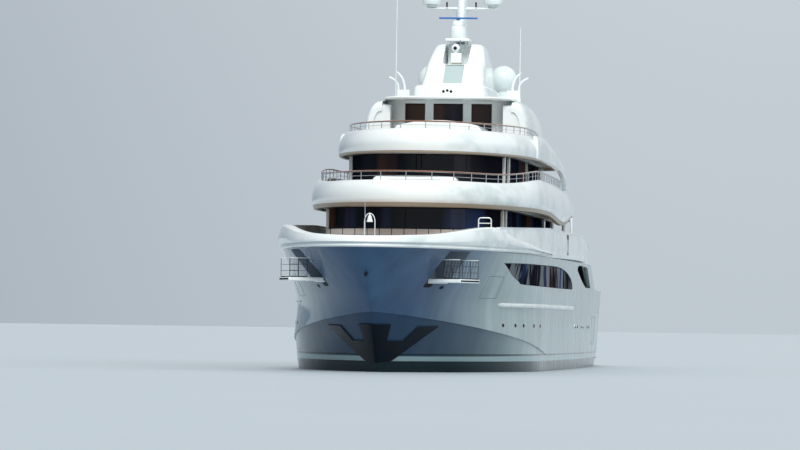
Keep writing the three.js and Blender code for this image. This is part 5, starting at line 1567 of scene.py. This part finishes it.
def post_spans(house, line):
    """The wall's port half, and where each part that stands between windows starts and ends along it."""
    port = line[len(line) // 2:]
    run = runs(port)
    spans = []
    for aft, width in house.posts:
        at = np.interp(aft, port[:, 0], run)
        spans.append((at - width / 2, at + width / 2))
    front = port[:, 1].argmax() + 1
    for out, width in house.front:
        if out - width / 2 <= 0:
            spans.append((0, min(width / 2, run[-1])))
        else:
            ends = np.clip([out - width / 2, out + width / 2], 0, port[:, 1].max())
            spans.append(tuple(np.interp(ends, port[:front, 1], run[:front])))
    spans.append((np.interp(house.window_end, port[:, 0], run), run[-1]))
    return port, spans


def span_line(port, low, high):
    """The port line between two runs along it, with its bends kept."""
    run = runs(port)
    return at_runs(port, np.concatenate([[low], run[(run > low) & (run < high)], [high]]))


def build_house(name):
    """One house: a low wall, a head wall, posts between the windows, and the after wall with its doorway. A
    dark seal lines the windows above and below."""
    house = HOUSES[name]
    half, head = house.door
    line = house_line(house.plan, 0, half)
    looks = ["white paint", "black seal", "house paint", "deck teak"]
    white, seal, warm, teak = range(len(looks))
    made = Gather()
    made.add(wall(line, WALL, house.low, house.sill), warm if name == "upper" else white)
    made.add(wall(line, WALL, house.head, house.high), white)
    port, spans = post_spans(house, line)
    for low, high in spans:
        if high - low >= MIN_POST:
            post = span_line(port, low, high)
            made.both(wall(post, WALL, house.sill - 0.001, house.head + 0.001), white)
    tail = house.plan.tail
    made.add(box((tail - WALL, tail), (-half, half), (head, house.high)), white)
    lining = house_line(house.plan, 0.03, half)
    lining = lining[lining[:, 0] < house.window_end]
    made.add(wall(lining, 0.08, house.sill - 0.001, house.sill + 0.05), seal)
    made.add(wall(lining, 0.08, house.head - 0.06, house.head + 0.001), seal)
    floor = house_line(house.plan, WALL + 0.01, half, 0.6)
    made.add(prism(floor[::-1], "up", house.low + 0.002, house.low + 0.03), teak)
    piece(f"{name}_house_walls", made, looks, node=f"{name}_house", sharp=30)


def build_glass(name):
    """The glass band of one house, with thin seams between its panes."""
    house = HOUSES[name]
    line = house_line(house.plan, WALL + 0.006, 0.5, 0.3)
    line = line[line[:, 0] < house.window_end + 0.2]
    made = Gather(wall(line, GLASS, house.sill - 0.12, house.head + 0.06))
    middle = len(line) // 2
    for seam in house.seams:
        k = middle + (int(np.abs(line[middle:, 0] - seam).argmin()) if seam else 0)
        strip = line[k] + (line[k - 1:k + 2] - line[k]) * 0.09
        made.both(wall(strip, GLASS + 0.01, house.sill - 0.1, house.head + 0.05), 1)
    looks = ["dark glass", "black seal"]
    piece(f"{name}_house_glass", made, looks, node=f"{name}_glass", sharp=30)


def build_houses():
    """Every deckhouse with its glass."""
    for name in HOUSES:
        build_house(name)
        build_glass(name)


# Sun deck: wings, hardtop, fairing and mast

WING_PORT = 3.92


def build_wings():
    """Curved wings beside the sun house: a thick quarter-round section, scaled along the ship, with a panel
    that fills the space behind its front."""
    # stations: aft and scale
    stations = curve([(37.7, 0.86), (38.0, 0.96), (38.6, 1.0), (40, 1.02), (43, 1.0), (46, 0.97), (49, 0.8),
                      (50.6, 0.5)], 6)
    front = np.array([(37.82, 0.93), (38.35, 0.97)])
    turn = np.linspace(0, np.pi / 2, 20)

    def arc(out, rise):
        return np.stack([out * np.clip(np.cos(turn), 0, 1) ** 0.72, rise * np.sin(turn) ** 0.95], axis=1)
    section = np.vstack([arc(1.16, 2.87), arc(0.72, 2.6)[::-1]])
    panel = np.vstack([arc(1.0, 2.78), [(-0.55, 2.78), (-0.55, 0.0)]])
    for name, side in SIDES:
        made = Gather()
        for outline, rows, cap in ((section, stations, "pairs"), (panel, front, "fan")):
            aft, scale = rows.T[..., None]
            port = side * (WING_PORT + outline[:, 0] * scale)
            made.add(loft(places(aft, port, SUN_DECK + LIFT + outline[:, 1] * scale), cap=cap))
        piece(f"wing_{name}", made, node=f"sun_wing_{name}", sharp=35)


def build_hardtop():
    """The flat roof over the sun house, with rounded edges."""
    levels = [(0.5, ROOF), (0.12, ROOF + 0.02), (0.03, ROOF + 0.06), (0.0, ROOF + 0.11), (0.03, ROOF + 0.17),
              (0.12, ROOF_TOP - 0.02), (0.5, ROOF_TOP)]
    made = Gather()
    add_stack(made, HARDTOP_PLAN, levels, [0] * 6, [0, 0])
    piece("hardtop_shell", made, node="hardtop")


FAIRING = [
    # up, nose, half-breadth, tail
    (ROOF_TOP + LIFT, 38.9, 2.25, 47.4), (16.5, 38.92, 2.28, 47.4), (16.9, 39.02, 2.24, 47.4),
    (17.05, 39.15, 2.18, 47.4), (17.13, 39.6, 2.05, 47.4), (17.15, 40.3, 1.95, 47.4),
    (17.8, 41.2, 1.87, 47.3), (MAST_FOOT, 42.0, 1.8, 47.2), (19.1, 42.8, 1.66, 47.05),
    (19.5, 43.4, 1.55, 46.9), (19.78, 43.9, 1.42, 46.75), (19.88, 44.3, 1.25, 46.5),
]
PLINTH_ROWS = (3, 5)
LOBE_SLOT = 0.78
HORNS = ((-0.34, 16.7), (-0.11, 16.76), (0.12, 16.7))
FAIRING_RECESS = [(38, 17.27), (40.53, 17.27), (41.26, 17.8), (42.04, 18.47), (38, 18.47)]


def build_fairing():
    """The mast's fairing: a plinth and two rounded lobes with a slot between them, a pale recess in front and
    three round horns' mouths below it."""
    loops = []
    for up, nose, beam, tail in curve(FAIRING, 4, corners=PLINTH_ROWS):
        half = plan_half(Plan(nose, nose + 1.3, beam, tail, beam, 0.6, 0.5))[0]
        loops.append(np.column_stack([half, np.full(len(half), up)]))
    port = np.stack(loops)
    looks = ["white paint", "grille grey", "hollow shade paint"]
    body = Gather(loft(mirror_loops(port[:, 0], port[:, 1:]), cap="mirror"))
    body = piece("mast_fairing_shell", body, looks, node="mast_fairing", sharp=32)
    beyond = 30
    slot = [(-LOBE_SLOT, MAST_FOOT), (LOBE_SLOT, MAST_FOOT), (LOBE_SLOT + 0.06, beyond),
            (-LOBE_SLOT - 0.06, beyond)]
    cuts = Gather(prism(rounded(slot, 0.25), "aft", 30, 60))
    # The horns' mouths are painted near black: painted shade
    for port, up in HORNS:
        cuts.add(rods((38, port, up), (40.4, port, up), 0.088, 24), 2)
    cuts.add(prism(FAIRING_RECESS, "port", -0.58, 0.58), 1)
    carve(body, cuts, sharp=32)


def build_fairing_fittings():
    """What stands in the fairing's slot: a camera on its box and stand, with its lens ahead, and an
    aerial."""
    made = Gather(block((42.5, 43.2), (-0.33, 0.33), (MAST_FOOT + 0.12, 19.22), 0.05))
    made.add(block((42.55, 43.15), (-0.3, 0.3), (MAST_FOOT + LIFT, MAST_FOOT + 0.14), 0.04), 1)
    turn = np.linspace(-1.1, 1.5, 14)
    foot = [(0.001, 0), (0.13, 0), (0.12, 0.08), (0.09, 0.1), (0.09, 0.16)]
    ball = np.stack([0.27 * np.cos(turn), 0.32 + 0.27 * np.sin(turn)], axis=1)
    camera = np.vstack([foot, ball, [(0.001, 0.59)]])
    made.add(turned(camera, (42.85, -0.07, 19.21), "up", 32))
    lens = [(0.001, -0.02), (0.11, -0.02), (0.11, 0.04), (0.001, 0.06)]
    made.add(turned(lens, (42.58, -0.07, 19.53), "aft", 20), 2)
    made.add(rods((42.95, 0.2, 19.2), (42.95, 0.2, 20.1), 0.025, 8), 3)
    looks = ["white paint", "soffit paint", "black seal", "stainless"]
    piece("fairing_fittings", made, looks)


MAST_AFT = 45.6
MAST_SHAPE = [
    # up, size
    (MAST_FOOT + LIFT, 1), (20.6, 0.85), (22, 0.8), (24, 0.5), (MAST_TOP, 0.34),
]
CROSSTREES = (
    # up, half, chord
    (22.05, 2.26, 0.8), (23.95, 1.25, 0.6),
)
RADAR_AFT = 43.5


def mast_loops(shape):
    """Ellipses up the mast: the chord shrinks as the square of its size, the width with its size."""
    turn = turns(32)
    up, size = curve(shape, 5).T
    ahead = 0.95 * size[:, None] ** 2 * np.cos(turn)
    out = 0.42 * size[:, None] * np.sin(turn)
    return places(MAST_AFT - ahead, out, up[:, None])


def crosstree(up, half, chord):
    """A level arm across the mast: ellipses that shrink towards both tips, which rise a little."""
    share = np.linspace(-1, 1, 41)[:, None]
    turn = turns(16)
    aft = MAST_AFT - chord / 2 * (1 - 0.45 * np.abs(share)) * np.cos(turn)
    ups = up + 0.05 + 0.03 * np.abs(share) + (0.15 - 0.11 * np.abs(share)) * np.sin(turn)
    return loft(places(aft, half * share, ups))


def build_mast():
    """The mast: a tapered foil with two crosstrees and their lamps, and the radar's shelf, struts and
    drum."""
    made = Gather(loft(mast_loops(MAST_SHAPE)))
    for tree in CROSSTREES:
        made.add(crosstree(*tree))
    made.add(block((44.2, 46.6), (-0.72, 0.72), (MAST_FOOT + LIFT, 19.9), 0.14, 5))
    made.add(block((43.0, 45.6), (-0.74, 0.74), (19.98, 20.15), 0.05))
    made.both(rods((43.3, 0.5, 20.0), (44.7, 0.35, 19.5), 0.05, 10))
    drum = [(0.001, 20.13), (0.42, 20.13), (0.47, 20.2), (0.47, 20.82), (0.44, 20.88), (0.4, 20.9),
            (0.42, 20.94), (0.4, 21.14), (0.32, 21.25), (0.066, 21.25), (0.066, 21.1), (0.001, 21.1)]
    made.add(turned(drum, (RADAR_AFT, 0, 0), "up", 40))
    made.both(rods((45.1, 0.9, 22.2), (45.1, 0.9, 22.5), 0.05, 10), 1)
    made.both(rods((MAST_AFT, 1.2, 24.02), (MAST_AFT, 1.2, 24.5), 0.04, 10), 1)
    made.add(rods((MAST_AFT, 0, MAST_TOP), (MAST_AFT, 0, MAST_TOP - 0.3), 0.08, 16), 2)
    looks = ["white paint", "black seal", "stainless"]
    piece("mast_foil", made, looks, node="mast")


def ball_profile(radius, neck, rise):
    """An antenna dome on its neck: a ball drawn in below, from pole to pole."""
    turn = np.linspace(-0.32 * np.pi, 0.5 * np.pi, 30)
    ball = np.stack([radius * np.cos(turn), rise + radius * (0.75 + np.sin(turn))], axis=1)
    ball[-1, 0] = 0.001
    foot = [(0.001, 0), (neck * 1.2, 0), (neck * 1.2, 0.05), (neck, 0.1), (neck * 0.92, rise - 0.08),
            (neck * 0.98, rise - 0.05)]
    return np.vstack([foot, ball])


def drum_profile(radius, neck, rise):
    """A drum with a flat base and a round top, on its neck, from pole to pole."""
    turn = np.linspace(0, 0.5 * np.pi, 18)
    top = np.stack([radius * np.cos(turn), rise + radius * (0.35 + np.sin(turn))], axis=1)
    top[-1, 0] = 0.001
    lip = radius * 0.985
    foot = [(0.001, 0), (neck, 0), (neck, rise), (radius * 0.95, rise), (radius, rise + 0.04),
            (radius, rise + 0.13), (lip, rise + 0.14), (lip, rise + 0.16), (radius, rise + 0.17)]
    return np.vstack([foot, top])


def build_domes():
    """Satellite domes on the hardtop, and smaller drums on the lower crosstree."""
    ball, drum = ball_profile(0.85, 0.45, 1.0), drum_profile(0.57, 0.3, 0.165)
    for name, side in SIDES:
        for kind, profile, place in (("sat", ball, (49.2, side * 2.24, ROOF_TOP + LIFT)),
                                     ("mast", drum, (MAST_AFT, side * 1.9, 22.205))):
            dome = Gather(turned(profile, place, "up", 48))
            piece(f"{kind}_dome_shell_{name}", dome, ["dome skin"],
                  node=f"{kind}_dome_{name}")


# Foredeck and after decks

BELL_AFT, BELL_UP = 2.55, 8.0 + LIFT
FOREDECK_RAIL_AFT = 12
FOREDECK = UPPER_DECK - 0.02


def build_bell():
    """The bell under its hoop on two legs."""
    turn = np.linspace(0, np.pi, 17)
    hoop = places(BELL_AFT, 0.28 * np.cos(turn), BELL_UP + 0.46 * np.sin(turn))
    leg = np.array([(BELL_AFT, 0.28, UPPER_DECK + LIFT), (BELL_AFT, 0.28, 7.5)])
    hoop = np.vstack([leg, hoop, leg[::-1] * [1, -1, 1]])
    bell = [(0.001, 0.05), (0.14, 0.02), (0.17, 0.0), (0.175, 0.02), (0.14, 0.1), (0.115, 0.2), (0.09, 0.31),
            (0.05, 0.36), (0.001, 0.375)]
    made = Gather(tube(hoop, 0.024, 12, (1, 0, 0)), turned(bell, (BELL_AFT, 0, BELL_UP), "up", 32))
    made.add(rods((BELL_AFT, 0, BELL_UP + 0.236), (BELL_AFT, 0, BELL_UP + 0.46), 0.035, 10))
    piece("bell_and_hoop", made, node="bell")


def build_foredeck():
    """Jackstaff, bollards, windlasses, capstans and hatches behind the band, a light rail across them and a
    frame of white tube."""
    made = Gather(rods((0.75, 0, 7.0), (0.5, 0, 9.0), 0.028, 8, 0.016))
    bollards = [(aft, side * port, FOREDECK) for aft, port in ((4.6, 1.6), (7.6, 3.0), (10.6, 4.2))
                for _, side in SIDES]
    posts = rods([(-0.14, 0, 0), (0.14, 0, 0)], [(-0.14, 0, 0.42), (0.14, 0, 0.42)], 0.075, 16)
    for shape in (posts, block((-0.3, 0.3), (-0.13, 0.13), (0, 0.05), 0.02)):
        made.add(copied(shape, bollards))
    drum = [(0.001, -0.2), (0.2, -0.2), (0.22, -0.17), (0.14, -0.12), (0.12, 0.0), (0.14, 0.12), (0.22, 0.17),
            (0.2, 0.2), (0.001, 0.2)]
    made.both(block((5.4, 6.3), (0.75, 1.05), (FOREDECK, 7.2), 0.06))
    made.both(turned(drum, (5.85, 1.27, 7.12), "port", 24))
    capstan = [(0.001, 0), (0.26, 0), (0.27, 0.04), (0.2, 0.1), (0.17, 0.25), (0.22, 0.36), (0.2, 0.4),
               (0.001, 0.41)]
    made.both(turned(capstan, (9.6, 2.3, FOREDECK), "up", 28))
    rail, half = FOREDECK_RAIL_AFT, 3.4
    posts = [(rail, port, FOREDECK) for port in np.arange(-half, half + 0.01, 0.68)]
    made.add(rods(posts, [(aft, port, 7.92) for aft, port, _ in posts], 0.02, 8), 1)
    for up in (7.5, 7.9):
        made.add(rods((rail, -half, up), (rail, half, up), 0.009, 6), 1)
    frame = rounded([(4.8, FOREDECK), (4.8, 8.5), (5.5, 8.5), (5.5, FOREDECK)], 0.16, 5)
    frame = np.column_stack([np.full(len(frame), rail), frame])
    frame = np.roll(frame, -int(np.argmin(frame[:, 2] + frame[:, 1])), axis=0)
    made.add(rods(frame[:-1], frame[1:], 0.035, 8), 2)
    for up in (7.9, 8.2):
        made.add(rods((rail, 4.8, up), (rail, 5.5, up), 0.025, 8), 2)
    for fore in (8.0, 13.4):
        made.add(block((fore, fore + 1), (-0.5, 0.5), (FOREDECK, 7.12), 0.06, 4), 2)
    piece("foredeck_gear", made, ["stainless", "dark steel with painted reflection", "white paint"])


Seat = namedtuple("Seat", "deck fore end port wide pads back")
SEATS = {
    # deck level, fore, end, middle's port, width, how many pads, the end with the backrest (0 for none)
    "cockpit_sofa": Seat(MAIN_DECK, 74.6, 75.6, 0, 5.2, 4, 1),
    "upper_sofa_port": Seat(UPPER_DECK, 57.2, 58.1, 3.0, 2.8, 3, -1),
    "upper_sofa_starboard": Seat(UPPER_DECK, 57.2, 58.1, -3.0, 2.8, 3, -1),
    "bridge_lounger_port": Seat(BRIDGE_DECK, 56.0, 57.9, 2.0, 2.4, 3, 0),
    "bridge_lounger_starboard": Seat(BRIDGE_DECK, 56.0, 57.9, -2.0, 2.4, 3, 0),
    "sun_lounger": Seat(SUN_DECK, 29.6, 31.5, 0, 3.6, 4, 0),
}


def build_seats():
    """Sofas and loungers on the open decks: a low white plinth, and padded cushions side by side."""
    plinths = Gather()
    for name, seat in SEATS.items():
        low, half = seat.deck + LIFT, seat.wide / 2
        width = (seat.port - half, seat.port + half)
        plinths.add(block((seat.fore, seat.end), width, (low, low + 0.3), 0.04))
        back = seat.end if seat.back > 0 else seat.fore
        edges = np.linspace(width[0] + 0.02, width[1] - 0.02, seat.pads + 1)
        for k, (near, far) in enumerate(zip(edges[:-1], edges[1:])):
            wide = (near + 0.012, far - 0.012)
            pad = block((seat.fore + 0.03, seat.end - 0.03), wide, (low + 0.295, low + 0.46), 0.07, 5)
            pads = {"pad": pad}
            if seat.back:
                deep = sorted((back - 0.03 * seat.back, back - 0.23 * seat.back))
                pads["back"] = block(deep, wide, (low + 0.45, low + 0.85), 0.06, 5)
            for kind, shape in pads.items():
                made = piece(f"{name}_{kind}_{k}", Gather(shape), ["canvas"])
        if seat.back:
            deep = sorted((back - 0.045 * seat.back, back))
            plinths.add(block(deep, width, (low + 0.25, low + 0.75), 0.02))
    piece("seat_plinths", plinths)


def build_tables():
    """Round tables on one foot before the sofas."""
    profile = [(0.001, 0), (0.28, 0), (0.26, 0.03), (0.06, 0.06), (0.05, 0.66), (0.3, 0.69), (0.72, 0.7),
               (0.74, 0.725), (0.72, 0.75), (0.001, 0.755)]
    spots = [(73.2, 0, MAIN_DECK + LIFT)] + [(59.4, side * 3.0, UPPER_DECK + LIFT) for _, side in SIDES]
    tables = Gather(copied(turned(profile, (0, 0, 0), "up", 40), spots))
    piece("deck_tables", tables, ["varnished teak"])


# Small things on the roof and under the decks

def build_roof_gear():
    """Curved arms in pairs beside the fairing with lockers at their feet."""
    made = Gather()
    for keys in ([(3.32, 16.9), (3.33, 17.2), (3.5, 17.75), (3.68, 17.98), (3.85, 18.13)],
                 [(3.72, 16.9), (3.74, 17.25), (3.84, 17.48), (4.02, 17.66), (4.3, 17.8)]):
        path = through([(44.2, port, up) for port, up in keys], 6)
        made.both(tube(path, np.linspace(0.085, 0.06, len(path)), 12, (1, 0, 0)))
    made.both(block((43.9, 44.7), (3.0, 3.78), (ROOF_TOP - 0.02, 17.02), 0.06, 4))
    made.both(block((46.0, 47.2), (2.9, 3.5), (ROOF_TOP - 0.02, 16.75), 0.06, 4))
    piece("roof_arms", made)


def build_soffit_lamps():
    """Small round lamps in a row under the bridge deck and the sun deck."""
    profile = [(0.001, 0.02), (0.07, 0.015), (0.09, 0.0), (0.1, 0.0), (0.1, 0.012), (0.001, 0.03)]
    spots = []
    for plan, inset, end, up in ((BRIDGE_PLAN, 0.95, 58, BRIDGE_SOFFIT), (SUN_PLAN, 0.75, 52, SUN_SOFFIT)):
        spots += [(aft, port, up) for aft, port in evenly(plan_line(plan, inset, end), 2.2)]
    lamps = copied(turned(profile, (0, 0, -0.012), "up", 12), spots)
    piece("soffit_lamps", Gather(lamps), ["stainless"])


# Guard rails

Rail = namedtuple("Rail", "plan inset end foot high every")
RAILS = {"bridge": Rail(BRIDGE_PLAN, 0.56, 53.0, bridge_top, 0.5, 1.55),
         "sun": Rail(SUN_PLAN, 0.68, 51.0, sun_top, 0.42, 1.45)}


def build_rail(name):
    """A guard rail round a brow: steel stanchions with a middle wire and a varnished wooden rail on top."""
    rail = RAILS[name]
    step = 0.25
    line = evenly(plan_line(rail.plan, rail.inset, rail.end), step)
    foot = rail.foot(line[:, 0])
    at = np.arange(2, len(line) - 1, int(round(rail.every / step)))
    posts = np.column_stack([line[at], foot[at]])
    made = Gather(rods(posts + [0, 0, LIFT], posts + [0, 0, rail.high], 0.024, 8))
    top = np.column_stack([line, foot + rail.high])
    made.add(tube(top, (0.055, 0.032), 10), 1)
    made.add(tube(top - [0, 0, 0.045], 0.014, 6))
    made.add(tube(top - [0, 0, 0.55 * rail.high], 0.012, 6))
    piece(f"{name}_guard_rail", made, ["stainless", "varnished teak"], node=f"{name}_rail", sharp=50)


def build_rails():
    """Every guard rail."""
    for name in RAILS:
        build_rail(name)


# Pieces of the frame that stay, with their finishes

KEPT = {
    "deck teak": ["upper_deck", "stairs_port", "stairs_starboard"],
    "stainless": ["shaft_port", "shaft_starboard"],
    "radar blue": ["radar_bar"],
    "dark glass": ["main_door_port", "main_door_starboard", "upper_door_port", "upper_door_starboard"],
    "white paint": ["whip_port", "whip_starboard"],
    "hull paint": ["transom_door"],
}


def dress_kept():
    """Gives the frame's own pieces their finishes."""
    for name, nodes in KEPT.items():
        for node in nodes:
            mesh = frame["nodes"][node].data
            mesh.materials.clear()
            mesh.materials.append(finish(name))


# Operators, one for each piece or group of like pieces

class YachtOperator(bpy.types.Operator):
    """Base of the yacht's operators"""
    bl_options = {"REGISTER"}
    builders = ()

    def execute(self, context):
        for build in self.builders:
            build()
        return {"FINISHED"}


class SetStage(YachtOperator):
    """Puts up the camera, the floor and the lights, and makes the finishes"""
    bl_idname = "yacht.stage"
    bl_label = "Stage and finishes"
    builders = (place_camera, make_finishes, build_stage)


class MakeHull(YachtOperator):
    """Makes the hull with its salon glass, stem plates, strakes and fittings"""
    bl_idname = "yacht.hull"
    bl_label = "Hull"
    builders = (build_hull, build_hull_windows, build_stem_plates, build_rub_rails, build_hull_fittings)


class MakePlatforms(YachtOperator):
    """Makes the fold-out mooring platforms with their rails"""
    bl_idname = "yacht.platforms"
    bl_label = "Mooring platforms"
    builders = (build_platforms,)


class MakeRunningGear(YachtOperator):
    """Makes the propellers, rudders, fins and the swim platform"""
    bl_idname = "yacht.running_gear"
    bl_label = "Running gear and stern"
    builders = (build_propellers, build_rudders_and_fins, build_stern)


class MakeBand(YachtOperator):
    """Makes the bow band and the bulwarks behind it"""
    bl_idname = "yacht.band"
    bl_label = "Band and bulwarks"
    builders = (build_band, build_bulwarks)


class MakeDecks(YachtOperator):
    """Makes the bridge deck and the sun deck, with the lamps under them"""
    bl_idname = "yacht.decks"
    bl_label = "Decks"
    builders = (build_bridge_deck, build_sun_deck, build_soffit_lamps)


class MakeHouses(YachtOperator):
    """Makes the four deckhouses and their glass"""
    bl_idname = "yacht.houses"
    bl_label = "Deckhouses"
    builders = (build_houses,)


class MakeTop(YachtOperator):
    """Makes the wings, hardtop, fairing, mast and domes"""
    bl_idname = "yacht.top"
    bl_label = "Hardtop and mast"
    builders = (build_wings, build_hardtop, build_fairing, build_fairing_fittings, build_mast, build_domes,
                build_roof_gear)


class MakeRails(YachtOperator):
    """Makes the guard rails round the two brows"""
    bl_idname = "yacht.rails"
    bl_label = "Guard rails"
    builders = (build_rails,)


class MakeDeckGear(YachtOperator):
    """Makes the foredeck's gear, and the seats and tables on the open decks"""
    bl_idname = "yacht.deck_gear"
    bl_label = "Deck gear"
    builders = (build_bell, build_foredeck, build_seats, build_tables)


class DressKept(YachtOperator):
    """Gives the frame's own pieces their finishes"""
    bl_idname = "yacht.kept"
    bl_label = "Frame pieces"
    builders = (dress_kept,)


STEPS = (SetStage, MakeHull, MakePlatforms, MakeRunningGear, MakeBand, MakeDecks, MakeHouses, MakeTop,
         MakeRails, MakeDeckGear, DressKept)


class YachtPanel(bpy.types.Panel):
    """Lists the yacht's operators and settings"""
    bl_idname = "VIEW3D_PT_yacht"
    bl_label = "Motor yacht"
    bl_space_type = "VIEW_3D"
    bl_region_type = "UI"
    bl_category = "Yacht"

    def draw(self, context):
        for step in STEPS:
            self.layout.operator(step.bl_idname)
        for group, kind in SETTINGS.items():
            for name in kind.__annotations__:
                self.layout.prop(getattr(context.scene, group), name)


SETTINGS = {"yacht_colours": YachtColours, "yacht_lines": YachtLines, "yacht_stage": YachtStage}
CLASSES = (*SETTINGS.values(), *STEPS, YachtPanel)


def register():
    for one in CLASSES:
        bpy.utils.register_class(one)
    for name, group in SETTINGS.items():
        setattr(bpy.types.Scene, name, PointerProperty(type=group))


def unregister():
    for name in SETTINGS:
        delattr(bpy.types.Scene, name)
    for one in reversed(CLASSES):
        bpy.utils.unregister_class(one)


def main():
    """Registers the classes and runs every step."""
    register()
    for step in STEPS:
        getattr(bpy.ops.yacht, step.bl_idname.split(".")[1])()


if __name__ == "__main__":
    main()
